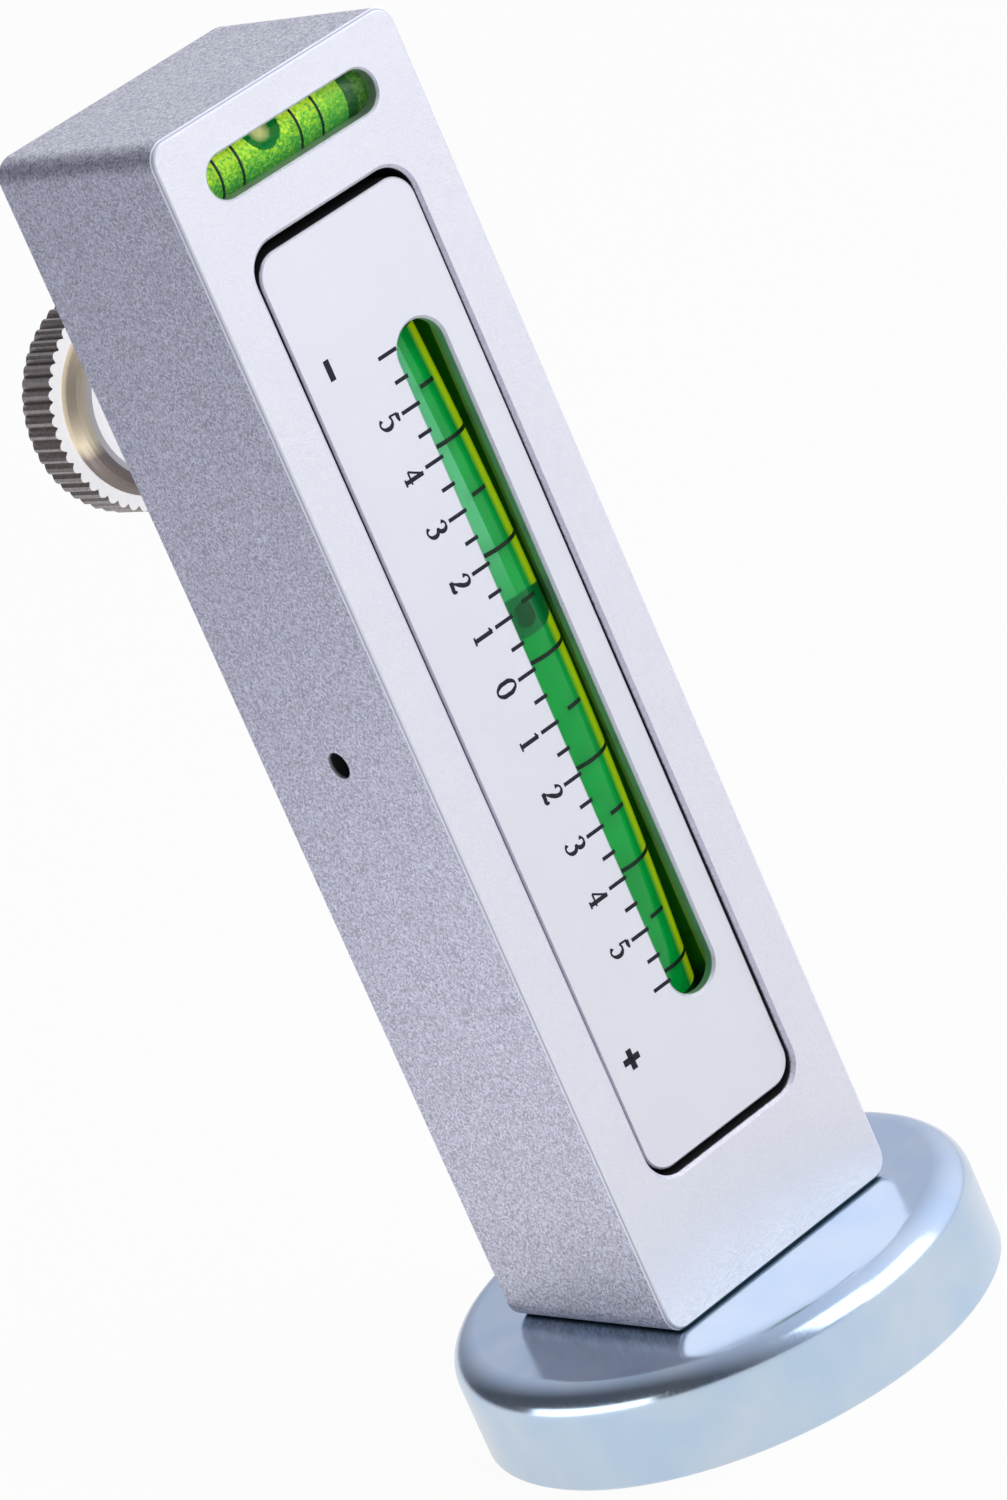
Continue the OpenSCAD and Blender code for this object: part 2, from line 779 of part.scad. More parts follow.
// Outline of the knurl: rounded teeth with a sharp groove between them
function knurl_outline() =
    let (pitch = 360 / knurl_teeth, r = knob_d / 2)
    [for (tooth = [0:knurl_teeth - 1], flat = [0:knurl_flats - 1])
        let (across = flat / knurl_flats - 0.5, a = (tooth + across) * pitch,
             out = r - knurl_depth * pow(2 * across, 2))
        [out * cos(a), out * sin(a)]];

// Side of the boss, from its end face to the rim, as a shallow arc
function boss_side(steps = 6) = [for (i = [0:steps])
    let (t = i / steps, bulge = boss_bulge * sin(180 * t))
    [boss_face_r + boss_taper * t + bulge * boss_l / boss_taper, boss_face_y + boss_l * t - bulge]];

module adjust_knob() {
    dish_r = boss_face_r;
    // cuts across the knurl's grooves
    bevel = knurl_depth + knob_bevel;
    color("tan")
        translate([0, 0, adjust_z])
            difference() {
                along_y()
                    union() {
                        intersection() {
                            translate([0, 0, rim_y])
                                linear_extrude(knob_t)
                                    polygon(knurl_outline());
                            rotate_extrude()
                                polygon([[0, rim_y - cut], [knob_d / 2 + cut, rim_y - cut],
                                    [knob_d / 2 + cut, knob_back_y - bevel - cut],
                                    [knob_d / 2 - bevel, knob_back_y], [0, knob_back_y]]);
                        }
                        rotate_extrude()
                            polygon(concat([[0, boss_face_y]], boss_side(), [[0, rim_y + cut]]));
                    }
                rod_y(screw_d + 2 * glass_gap, boss_face_y - cut, knob_back_y + cut);
                rod_y(2 * dish_r, knob_back_y - knob_dish, knob_back_y + cut);
            }
}

body_block();
pivot_pin();
return_spring();
level_vial_tube();
level_vial_fluid();
level_vial_stopper_left();
level_vial_stopper_right();
level_bore_plug();
magnet_cup();
ring_magnet();
magnet_potting();
pole_core();
base_stud();
vial_carrier();
camber_vial_tube();
camber_vial_fluid();
camber_vial_stopper_upper();
camber_vial_stopper_lower();
vial_bed();
carrier_cover();
cover_screws();
thrust_pad();
adjust_screw();
adjust_knob();
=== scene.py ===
"""Dresses the wheel alignment gauge: blasted and plated finishes, printed scale, spirit vials and thread.

Everything is in metres in the part's own frame: +Z up, -Y the front, the foot's underside at zero.
"""
import json
import logging
import math
from contextlib import contextmanager
from dataclasses import dataclass, field
from enum import Enum
from typing import Callable, Iterable, Iterator

import bpy
from mathutils import Matrix, Vector


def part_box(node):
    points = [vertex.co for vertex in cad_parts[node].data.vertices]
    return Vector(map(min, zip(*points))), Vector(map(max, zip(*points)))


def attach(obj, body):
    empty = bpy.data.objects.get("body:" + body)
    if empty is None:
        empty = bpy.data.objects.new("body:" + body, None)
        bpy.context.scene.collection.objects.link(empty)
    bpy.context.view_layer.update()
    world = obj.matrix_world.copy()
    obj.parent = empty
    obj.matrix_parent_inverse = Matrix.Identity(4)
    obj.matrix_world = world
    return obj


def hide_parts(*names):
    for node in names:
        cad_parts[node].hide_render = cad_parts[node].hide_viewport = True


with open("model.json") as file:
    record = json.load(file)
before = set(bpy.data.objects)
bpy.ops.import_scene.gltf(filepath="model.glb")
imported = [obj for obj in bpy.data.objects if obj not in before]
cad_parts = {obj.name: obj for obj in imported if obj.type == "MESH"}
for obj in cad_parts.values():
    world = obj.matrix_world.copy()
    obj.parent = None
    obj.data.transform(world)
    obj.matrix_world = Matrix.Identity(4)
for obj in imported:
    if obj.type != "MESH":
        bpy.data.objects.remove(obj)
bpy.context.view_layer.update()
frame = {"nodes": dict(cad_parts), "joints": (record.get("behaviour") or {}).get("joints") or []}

MM = 0.001
log = logging.getLogger("gauge")

Colour = tuple[float, float, float]
Span = tuple[float, float]
Gap = tuple[Vector, Vector, Colour]
Socket = bpy.types.NodeSocket

BLACK: Colour = (0.0, 0.0, 0.0)
WHITE: Colour = (1.0, 1.0, 1.0)
# the near black of painted shade in gaps and holes
PAINTED_GAP_SHADE: Colour = (0.05, 0.05, 0.055)
# the part of a noise's values that a pattern uses
SOFT_NOISE: Span = (0.3, 0.7)
SHARP_NOISE: Span = (0.35, 0.65)
# sides of round pieces, and the angle in degrees below which a tube's faces are smoothed
RING_SIDES = 96
TUBE_SIDES = 72
TUBE_SMOOTH = 40
# the least share of a face's normal along an axis for it to count as an end
END_NORMAL = 0.9


class Body(Enum):
    """The bodies that the pieces ride on."""

    HOUSING = "housing"
    CARRIER = "carrier"
    KNOB = "knob"


class Axis(Enum):
    """Directions in the part's frame, as indices of a vector."""

    X = 0
    Y = 1
    Z = 2


def scaled(colour: Colour, share: float) -> Colour:
    """Gives a colour at a share of its strength, held at white."""
    return tuple(min(1.0, share * c) for c in colour)


# ---- Finishes ----


class Tree:
    """A node tree, with the nodes that materials and the world both use."""

    def __init__(self, tree: bpy.types.NodeTree, output: str) -> None:
        """Empties a tree and gives it an output.

        Args:
            tree: the node tree.
            output: the output node's type.
        """
        self.nodes = tree.nodes
        self.links = tree.links
        self.nodes.clear()
        self.output = self.nodes.new(output)

    def math(self, operation: str, *values: Socket | float) -> Socket:
        """Adds a sum of one or more values.

        Args:
            operation: the Math node's operation.
            values: sockets or numbers, in order.

        Returns:
            The result.
        """
        node = self.nodes.new("ShaderNodeMath")
        node.operation = operation
        for slot, value in zip(node.inputs, values):
            if isinstance(value, Socket):
                self.links.new(value, slot)
            else:
                slot.default_value = value
        return node.outputs[0]

    def vectors(self, operation: str, first: Socket,
                second: Iterable[float] = (0.0, 0.0, 0.0)) -> bpy.types.Node:
        """Adds a sum of vectors.

        Args:
            operation: the Vector Math node's operation.
            first: the vector that comes in.
            second: a fixed vector, where the operation takes two.

        Returns:
            The node.
        """
        node = self.nodes.new("ShaderNodeVectorMath")
        node.operation = operation
        node.inputs[1].default_value = second
        self.links.new(first, node.inputs[0])
        return node

    def ray(self, kind: str) -> Socket:
        """Marks the rays of one kind, such as Camera or Shadow."""
        return self.nodes.new("ShaderNodeLightPath").outputs[f"Is {kind} Ray"]

    def light(self, node_type: str, colour: Colour, strength: Socket | float) -> Socket:
        """Adds a shader that gives light.

        Args:
            node_type: its node's type.
            colour: the light's colour.
            strength: how bright it is; 1 is white.

        Returns:
            The shader.
        """
        node = self.nodes.new(node_type)
        node.inputs["Color"].default_value = (*colour, 1.0)
        if isinstance(strength, Socket):
            self.links.new(strength, node.inputs["Strength"])
        else:
            node.inputs["Strength"].default_value = strength
        return node.outputs[0]

    def either(self, share: Socket, first: Socket, second: Socket) -> None:
        """Joins the output to a mix of two shaders.

        Args:
            share: how much of the second is taken.
            first: the shader at a share of 0.
            second: the shader at a share of 1.
        """
        node = self.nodes.new("ShaderNodeMixShader")
        for source, slot in zip((share, first, second), node.inputs):
            self.links.new(source, slot)
        self.links.new(node.outputs[0], self.output.inputs["Surface"])


class Shading(Tree):
    """A material's node tree built round one Principled shader."""

    def __init__(self, name: str) -> None:
        """Makes an empty material with its shader joined to the output.

        Args:
            name: the material's name.
        """
        self.material = bpy.data.materials.new(name)
        self.material.use_nodes = True
        super().__init__(self.material.node_tree, "ShaderNodeOutputMaterial")
        self.shader = self.nodes.new("ShaderNodeBsdfPrincipled")
        self.links.new(self.shader.outputs[0], self.output.inputs["Surface"])
        self.coords = self.nodes.new("ShaderNodeTexCoord").outputs["Object"]

    def set(self, **values: float | Colour) -> None:
        """Sets plain values on the shader's sockets.

        Args:
            values: socket names with underscores for spaces, and their values.
        """
        for name, value in values.items():
            socket = self.shader.inputs[name.replace("_", " ")]
            socket.default_value = (*value, 1.0) if isinstance(value, tuple) else value

    def feed(self, name: str, source: Socket) -> None:
        """Links a socket of the shader.

        Args:
            name: the shader's input.
            source: the output that feeds it.
        """
        self.links.new(source, self.shader.inputs[name])

    def mapped(self, centre: Vector = Vector(), scale: Vector = Vector((1, 1, 1)),
               turn: Vector = Vector()) -> Socket:
        """Centres, turns and stretches the object's coordinates.

        Args:
            centre: the point that becomes the pattern's origin.
            scale: factors along the axes.
            turn: turn about the axes, in radians.

        Returns:
            The mapped coordinates.
        """
        node = self.nodes.new("ShaderNodeMapping")
        node.vector_type = "TEXTURE"
        node.inputs["Location"].default_value = centre
        node.inputs["Rotation"].default_value = turn
        node.inputs["Scale"].default_value = [1 / s for s in scale]
        self.links.new(self.coords, node.inputs["Vector"])
        return node.outputs["Vector"]

    def noise(self, grain: float, detail: float = 2, roughness: float = 0.5,
              vector: Socket | None = None) -> Socket:
        """Adds a noise pattern.

        Args:
            grain: size of its grains, in metres.
            detail: how many finer layers it has.
            roughness: how strong those layers are.
            vector: coordinates to use in place of the object's.

        Returns:
            The noise, about 0.5 in the middle.
        """
        node = self.nodes.new("ShaderNodeTexNoise")
        node.inputs["Scale"].default_value = 1 / grain
        node.inputs["Detail"].default_value = detail
        node.inputs["Roughness"].default_value = roughness
        self.links.new(vector or self.coords, node.inputs["Vector"])
        return node.outputs["Fac"]

    def cells(self, grain: float) -> Socket:
        """Adds a pattern of small cells, each with a tone of its own.

        Args:
            grain: size of the cells, in metres.

        Returns:
            The tone of each cell, from 0 to 1.
        """
        node = self.nodes.new("ShaderNodeTexVoronoi")
        node.inputs["Scale"].default_value = 1 / grain
        self.links.new(self.coords, node.inputs["Vector"])
        apart = self.nodes.new("ShaderNodeSeparateColor")
        self.links.new(node.outputs["Color"], apart.inputs["Color"])
        return apart.outputs[0]

    def along(self, axis: Axis, vector: Socket | None = None) -> Socket:
        """Reads one coordinate.

        Args:
            axis: which one.
            vector: coordinates to use in place of the object's.

        Returns:
            Its value, in metres.
        """
        node = self.nodes.new("ShaderNodeSeparateXYZ")
        self.links.new(vector or self.coords, node.inputs[0])
        return node.outputs[axis.value]

    def off(self, axis: Axis, middle: float) -> Socket:
        """Gives how far a point lies past a place on an axis."""
        return self.math("SUBTRACT", self.along(axis), middle)

    def normal(self) -> Socket:
        """Gives the way that the surface faces."""
        return self.nodes.new("ShaderNodeNewGeometry").outputs["Normal"]

    def radius(self, centre: Vector, axis: Axis) -> Socket:
        """Measures the distance from a line.

        Args:
            centre: a point on the line.
            axis: the line's direction.

        Returns:
            The distance, in metres.
        """
        flat = [1.0, 1.0, 1.0]
        flat[axis.value] = 0.0
        across = self.vectors("MULTIPLY", self.mapped(centre), flat)
        return self.vectors("LENGTH", across.outputs["Vector"]).outputs["Value"]

    def inside(self, low: Vector, high: Vector, soft: float,
               vector: Socket | None = None) -> Socket:
        """Marks the points inside a box.

        Args:
            low: the box's lowest corner.
            high: its highest corner.
            soft: depth over which the mark fades in, in metres.
            vector: coordinates to use in place of the object's.

        Returns:
            1 well inside the box, 0 outside it.
        """
        mark: Socket | None = None
        for axis in Axis:
            place = self.along(axis, vector)
            for edge, step in ((low[axis.value], soft), (high[axis.value], -soft)):
                side = self.span(place, edge, edge + step)
                mark = side if mark is None else self.math("MINIMUM", mark, side)
        return mark

    def ramp(self, value: Socket, *stops: tuple[float, Colour]) -> Socket:
        """Turns a value into a colour.

        Args:
            value: what runs along the ramp, from 0 to 1.
            stops: places along it and their colours.

        Returns:
            The colour.
        """
        node = self.nodes.new("ShaderNodeValToRGB")
        self.links.new(value, node.inputs["Fac"])
        marks = node.color_ramp.elements
        while len(marks) < len(stops):
            marks.new(0.5)
        for mark, (place, colour) in zip(marks, stops):
            mark.position = place
            mark.color = (*colour, 1.0)
        return node.outputs["Color"]

    def span(self, value: Socket, low: float, high: float, new_low: float = 0,
             new_high: float = 1) -> Socket:
        """Maps a value from one span to another, held within it.

        Args:
            value: what is mapped.
            low: value that becomes new_low.
            high: value that becomes new_high.
            new_low: start of the new span.
            new_high: end of the new span.

        Returns:
            The mapped value.
        """
        node = self.nodes.new("ShaderNodeMapRange")
        self.links.new(value, node.inputs["Value"])
        for name, number in (("From Min", low), ("From Max", high),
                             ("To Min", new_low), ("To Max", new_high)):
            node.inputs[name].default_value = number
        return node.outputs["Result"]

    def mix(self, share: Socket, first: Socket | Colour, second: Socket | Colour) -> Socket:
        """Mixes two colours.

        Args:
            share: how much of the second is taken.
            first: the colour at a share of 0.
            second: the colour at a share of 1.

        Returns:
            The mixed colour.
        """
        node = self.nodes.new("ShaderNodeMix")
        node.data_type = "RGBA"
        self.links.new(share, node.inputs["Factor"])
        for slot, value in zip(node.inputs[6:8], (first, second)):
            if isinstance(value, Socket):
                self.links.new(value, slot)
            else:
                slot.default_value = (*value, 1.0)
        return node.outputs[2]

    def dimmed(self, pattern: Socket, limits: Span, least: float, colour: Colour) -> Socket:
        """Darkens a colour by a pattern.

        Args:
            pattern: what it follows.
            limits: the pattern's values where the colour is darkest and where it is as given.
            least: share of the colour at its darkest.
            colour: the colour.

        Returns:
            The uneven colour.
        """
        return self.mix(self.span(pattern, *limits, least, 1), BLACK, colour)

    def shine(self, colour: Socket, strength: float) -> None:
        """Feeds the shader with a colour that also gives light of its own.

        Args:
            colour: the colour.
            strength: how bright the light is.
        """
        self.feed("Base Color", colour)
        self.feed("Emission Color", colour)
        self.set(Emission_Strength=strength)

    def bump(self, height: Socket, depth: float, normal: Socket | None = None) -> Socket:
        """Raises the surface by a pattern and feeds the shader with the result.

        Args:
            height: the pattern, from 0 to 1.
            depth: how high it stands, in metres.
            normal: an earlier bump to build on.

        Returns:
            The bumped normal.
        """
        node = self.nodes.new("ShaderNodeBump")
        node.inputs["Distance"].default_value = depth
        node.inputs["Strength"].default_value = 1.0
        self.links.new(height, node.inputs["Height"])
        if normal is not None:
            self.links.new(normal, node.inputs["Normal"])
        self.feed("Normal", node.outputs["Normal"])
        return node.outputs["Normal"]


@dataclass(frozen=True)
class Finish:
    """A surface finish: its name, colour and gloss."""

    name: str
    colour: Colour
    roughness: float
    metallic: float = 0.0
    gloss_shares: Span = (0.8, 1.25)

    def shade(self, shading: Shading) -> None:
        """Adds the finish's own pattern; each kind of finish has one.

        Args:
            shading: the material to work on.
        """
        raise NotImplementedError

    def gloss(self, shading: Shading, pattern: Socket, limits: Span) -> Socket:
        """Varies the roughness with a pattern, between two shares of it.

        Args:
            shading: the material to work on.
            pattern: what it follows.
            limits: the pattern's values where the surface is smoothest and roughest.

        Returns:
            The roughness.
        """
        low, high = self.gloss_shares
        return shading.span(pattern, *limits, self.roughness * low,
                            min(1.0, self.roughness * high))

    def build(self) -> bpy.types.Material:
        """Makes the material.

        Returns:
            The finished material.
        """
        shading = Shading(self.name)
        shading.set(Base_Color=self.colour, Roughness=self.roughness, Metallic=self.metallic)
        self.shade(shading)
        return shading.material


@dataclass(frozen=True)
class BlastedMetal(Finish):
    """Metal blasted with fine beads: a sparkling grain, faint in front and strong elsewhere, with painted
    light and shade.
    """

    metallic: float = 0.6
    grain: float = 0.17 * MM
    relief: float = 0.03 * MM
    cell_ratio: float = 1.1
    tones: Span = (0.58, 1.42)
    gloss_spread: float = 0.06
    cloud_size: float = 6 * MM
    cloud_depth: float = 0.06
    # how strong the grain is in front and elsewhere, and the normal's Y between the two
    speckle: float = 0.08
    side_speckle: float = 0.95
    front_turn: Span = (-0.8, -0.3)
    # painted shade: a darker tint of the faces to the sides for the lesser light there, and the normal's
    # X over which it comes in
    painted_side_shade: Colour = (0.80, 0.79, 0.84)
    side_turn: Span = (0.3, 0.8)
    # the broken edge round the front face: where it lies, how it faces and the painted highlight lines on
    # it
    arris: float = 0.0
    arris_depth: float = 0.35 * MM
    arris_x: float = 12.5 * MM
    arris_z: float = 124 * MM
    arris_fade: float = 0.5 * MM
    arris_facing: Span = (0.6, 0.82)
    facing_fade: float = 0.08
    arris_highlight: float = 1.2
    arris_shade: float = 0.7
    arris_stops: tuple[float, ...] = (0.0, 0.3, 0.45, 0.65, 0.8)
    # boxes that lie in shade, in a frame that leans about the pivot
    crevices: tuple[Gap, ...] = ()
    crevice_fade: float = 0.2 * MM
    pivot: Vector = field(default_factory=Vector)
    lean: float = 0.0

    def shade(self, shading: Shading) -> None:
        """Adds the blasted grain, painted highlights on the bevels and painted shade in the gaps and
        holes.

        Args:
            shading: the material to work on.
        """
        pits = shading.noise(self.grain, detail=1.5, roughness=0.6)
        cells = shading.cells(self.grain * self.cell_ratio)
        cloud = shading.noise(self.cloud_size, detail=3)
        normal = shading.normal()
        frontal = shading.along(Axis.Y, normal)
        # the grain is the metal's own; its stronger contrast away from the front is painted light, for
        # light grazing those faces
        depth = shading.span(frontal, *self.front_turn, self.speckle, self.side_speckle)
        tone = shading.math("MULTIPLY_ADD", shading.math("SUBTRACT", cells, 0.5), depth, 0.5)
        tone = shading.math("MULTIPLY_ADD", cloud, self.cloud_depth,
                            shading.math("SUBTRACT", tone, self.cloud_depth / 2))
        # painted shade on the faces to the sides
        sideways = shading.math("ABSOLUTE", shading.along(Axis.X, normal))
        side_shaded = tuple(c * t for c, t in zip(self.colour, self.painted_side_shade))
        colour = shading.mix(shading.span(sideways, *self.side_turn),
                             self.spread(shading, tone, self.colour),
                             self.spread(shading, tone, side_shaded))
        # painted highlight lines along the bevels of the front face
        if self.arris:
            facing = shading.math("ABSOLUTE", frontal)
            colour = shading.mix(self.broken_edge(shading, facing), colour, self.lines(shading))
        # painted shade in the gaps and holes, in the leaning frame
        upright = shading.mapped(self.pivot, turn=Vector((self.lean, 0, 0)))
        for low, high, shade in self.crevices:
            dark = shading.inside(low - self.pivot, high - self.pivot, self.crevice_fade, upright)
            colour = shading.mix(dark, colour, shade)
        shading.feed("Base Color", colour)
        shading.feed("Roughness", shading.span(cells, 0, 1, self.roughness - self.gloss_spread,
                                               self.roughness + self.gloss_spread))
        shading.bump(pits, self.relief)

    def spread(self, shading: Shading, tone: Socket, colour: Colour) -> Socket:
        """Spreads the grain's tones round a colour.

        Args:
            shading: the material to work on.
            tone: the grain, from 0 (dark) to 1 (light).
            colour: the colour in the middle.

        Returns:
            The grained colour.
        """
        darkest, lightest = self.tones
        return shading.mix(tone, scaled(colour, darkest), scaled(colour, lightest))

    def broken_edge(self, shading: Shading, facing: Socket) -> Socket:
        """Marks the bevels along the sides and top of the front face.

        Args:
            shading: the material to work on.
            facing: how far the surface faces the front or back, from 0 to 1.

        Returns:
            1 on those bevels, 0 elsewhere.
        """
        low, high = self.arris_facing
        bevel = shading.math("MINIMUM", shading.span(facing, low, low + self.facing_fade),
                             shading.span(facing, high, high - self.facing_fade))
        aside = shading.span(shading.math("ABSOLUTE", shading.along(Axis.X)), self.arris_x,
                             self.arris_x + self.arris_fade)
        above = shading.span(shading.along(Axis.Z), self.arris_z, self.arris_z + self.arris_fade)
        return shading.math("MINIMUM", bevel, shading.math("MAXIMUM", aside, above))

    def lines(self, shading: Shading) -> Socket:
        """Paints two highlight lines, with a painted dark line between them, along a broken edge.

        Args:
            shading: the material to work on.

        Returns:
            The bevel's colour.
        """
        across = shading.span(shading.along(Axis.Y), self.arris, self.arris + self.arris_depth)
        light = scaled(self.colour, self.arris_highlight)
        dull = scaled(self.colour, self.arris_shade)
        return shading.ramp(across, *zip(self.arris_stops, (light, light, dull, dull, light)))


@dataclass(frozen=True)
class TurnedMetal(Finish):
    """Metal turned on a lathe: fine rings round an axis."""

    metallic: float = 1.0
    gloss_shares: Span = (0.7, 1.4)
    centre: Vector = field(default_factory=Vector)
    axis: Axis = Axis.Z
    pitch: float = 0.09 * MM
    relief: float = 0.0015 * MM
    broad_pitch: float = 0.81 * MM
    ring_least: float = 0.82

    def shade(self, shading: Shading) -> None:
        """Adds the tool's rings.

        Args:
            shading: the material to work on.
        """
        out = shading.radius(self.centre, self.axis)
        join = shading.nodes.new("ShaderNodeCombineXYZ")
        for source, slot in zip((out, shading.along(self.axis)), join.inputs):
            shading.links.new(source, slot)
        rings = shading.noise(self.pitch, detail=3, roughness=0.65, vector=join.outputs[0])
        broad = shading.noise(self.broad_pitch, detail=1, vector=join.outputs[0])
        colour, gloss = self.skin(
            shading, out, shading.dimmed(broad, SHARP_NOISE, self.ring_least, self.colour),
            self.gloss(shading, rings, SOFT_NOISE))
        shading.feed("Base Color", colour)
        shading.feed("Roughness", gloss)
        shading.bump(rings, self.relief)

    def skin(self, shading: Shading, out: Socket, colour: Socket,
             gloss: Socket) -> tuple[Socket, Socket]:
        """Leaves the turned surface as it is; a finish with more on it adds that here.

        Args:
            shading: the material to work on.
            out: distance from the axis.
            colour: the turned surface's colour.
            gloss: its roughness.

        Returns:
            The colour and the roughness.
        """
        return colour, gloss


@dataclass(frozen=True)
class KnobPlating(TurnedMetal):
    """The knob's plating: a dull knurled side, a neck with painted reflection above and painted shade
    below, and a pale face that gives light.
    """

    # the knurled side, and how far the surface faces along the axis where it starts and is full
    side: Colour = (0.55, 0.49, 0.45)
    side_roughness: float = 0.3
    side_metallic: float = 0.85
    side_turn: Span = (0.9, 0.2)
    worn_size: float = 0.3 * MM
    worn_least: float = 0.6
    # the neck: a painted warm reflection on its upper side and painted brown shade below
    neck_reflection: Colour = (1.0, 0.86, 0.62)
    neck_shade: Colour = (0.24, 0.20, 0.18)
    neck_r: float = 9.3 * MM
    neck_fade: float = 0.1 * MM
    neck_turn: Span = (0.97, 0.93)
    neck_up: Span = (-2.2 * MM, -0.6 * MM)
    # the face towards the block
    face_turn: Span = (-0.97, -0.99)
    face_metallic: float = 0.1
    face_glow: float = 0.5

    def skin(self, shading: Shading, out: Socket, colour: Socket,
             gloss: Socket) -> tuple[Socket, Socket]:
        """Adds the side, the neck and the face.

        Args:
            shading: the material to work on.
            out: distance from the axis.
            colour: the turned surface's colour.
            gloss: its roughness.

        Returns:
            The colour and the roughness.
        """
        along = shading.along(self.axis, shading.normal())
        facing = shading.math("ABSOLUTE", along)
        worn = shading.noise(self.worn_size, detail=4, roughness=0.75)
        colour = shading.mix(shading.span(facing, *self.side_turn), colour,
                             shading.dimmed(worn, SHARP_NOISE, self.worn_least, self.side))
        # painted reflection on the neck's upper side, painted shade below it
        up = shading.span(shading.along(Axis.Z, shading.mapped(self.centre)), *self.neck_up)
        inner = shading.math(
            "MINIMUM", shading.span(out, self.neck_r, self.neck_r - self.neck_fade),
            shading.span(facing, *self.neck_turn))
        colour = shading.mix(inner, colour, shading.mix(up, self.neck_shade, self.neck_reflection))
        # the face is matt and has white light of its own added, as the photo shows it pale
        flat = shading.span(along, *self.face_turn)
        shading.feed("Metallic", shading.span(flat, 0, 1, self.side_metallic,
                                              self.face_metallic))
        shading.set(Emission_Color=WHITE)
        shading.feed("Emission Strength", shading.span(flat, 0, 1, 0, self.face_glow))
        dull = shading.span(facing, *reversed(self.side_turn), self.side_roughness, 0.0)
        return colour, shading.math("MAXIMUM", gloss, dull)


@dataclass(frozen=True)
class PlatedSteel(Finish):
    """Bright plating: almost a mirror, with a faint waviness and a change of tint."""

    metallic: float = 1.0
    gloss_shares: Span = (0.7, 1.6)
    tint: Colour = WHITE
    wave: float = 7 * MM
    relief: float = 0.01 * MM
    haze_size: float = 0.25 * MM
    haze_limits: Span = (0.3, 0.8)
    haze_relief: float = 0.0004 * MM

    def shade(self, shading: Shading) -> None:
        """Adds the waviness, the tint and a fine haze.

        Args:
            shading: the material to work on.
        """
        cloud = shading.noise(self.wave, detail=2)
        haze = shading.noise(self.haze_size, detail=3, roughness=0.7)
        shading.feed("Base Color", shading.mix(
            shading.span(cloud, *SHARP_NOISE), self.colour, self.tint))
        shading.feed("Roughness", self.gloss(shading, haze, self.haze_limits))
        wavy = shading.bump(cloud, self.relief)
        shading.bump(haze, self.haze_relief, normal=wavy)


@dataclass(frozen=True)
class DrawnMetal(Finish):
    """Metal ground or drawn along one direction: fine lines that way."""

    metallic: float = 1.0
    axis: Axis = Axis.X
    pitch: float = 0.05 * MM
    stretch: float = 0.03
    relief: float = 0.001 * MM
    line_least: float = 0.8

    def shade(self, shading: Shading) -> None:
        """Adds the lines.

        Args:
            shading: the material to work on.
        """
        scale = [1.0, 1.0, 1.0]
        scale[self.axis.value] = self.stretch
        lines = shading.noise(self.pitch, detail=2, vector=shading.mapped(scale=Vector(scale)))
        shading.feed("Base Color", shading.dimmed(lines, SOFT_NOISE, self.line_least, self.colour))
        shading.feed("Roughness", self.gloss(shading, lines, SOFT_NOISE))
        shading.bump(lines, self.relief)


@dataclass(frozen=True)
class Moulded(Finish):
    """Moulded or cast material: a soft mottle and a fine skin."""

    gloss_shares: Span = (0.85, 1.15)
    mottle: float = 0.12
    mottle_size: float = 2.5 * MM
    grain: float = 0.4 * MM
    grain_limits: Span = (0.2, 0.8)
    relief: float = 0.006 * MM

    def shade(self, shading: Shading) -> None:
        """Adds the mottle and the skin.

        Args:
            shading: the material to work on.
        """
        cloud = shading.noise(self.mottle_size, detail=4)
        skin = shading.noise(self.grain, detail=2)
        shading.feed("Base Color", shading.dimmed(
            cloud, SOFT_NOISE, 1 - self.mottle, self.colour))
        shading.feed("Roughness", self.gloss(shading, skin, self.grain_limits))
        shading.bump(skin, self.relief)


@dataclass(frozen=True)
class EndBlock(Finish):
    """Moulded end of a vial: dark by the spirit, light and speckled at its end; glows a little."""

    light: Colour = (0.16, 0.42, 0.06)
    light_x: float = 0.0
    soft: float = 0.3 * MM
    speck_size: float = 0.3 * MM
    dark_limits: Span = (0.4, 0.8)
    dark_speck: float = 0.25
    glow: float = 0.2

    def shade(self, shading: Shading) -> None:
        """Adds the two tones and the speckle.

        Args:
            shading: the material to work on.
        """
        speck = shading.noise(self.speck_size, detail=4, roughness=0.8)
        pale = shading.mix(shading.span(speck, *SHARP_NOISE), self.colour, self.light)
        dark = shading.mix(shading.span(speck, *self.dark_limits, 0, self.dark_speck),
                           self.colour, self.light)
        end = shading.span(shading.along(Axis.X), self.light_x, self.light_x + self.soft)
        shading.shine(shading.mix(end, dark, pale), self.glow)


@dataclass(frozen=True)
class PrintedInk(Finish):
    """Screen printed ink: dense, and paler where its cover is thin."""

    specular: float = 0.2
    cover_size: float = 0.12 * MM
    thin_limits: Span = (0.5, 0.8)
    thin_most: float = 0.35
    thin: Colour = (0.09, 0.095, 0.13)
    relief: float = 0.002 * MM

    def shade(self, shading: Shading) -> None:
        """Adds the ink's uneven cover.

        Args:
            shading: the material to work on.
        """
        shading.set(Specular_IOR_Level=self.specular)
        cover = shading.noise(self.cover_size, detail=2)
        shading.feed("Base Color", shading.mix(
            shading.span(cover, *self.thin_limits, 0, self.thin_most), self.colour, self.thin))
        shading.bump(cover, self.relief)


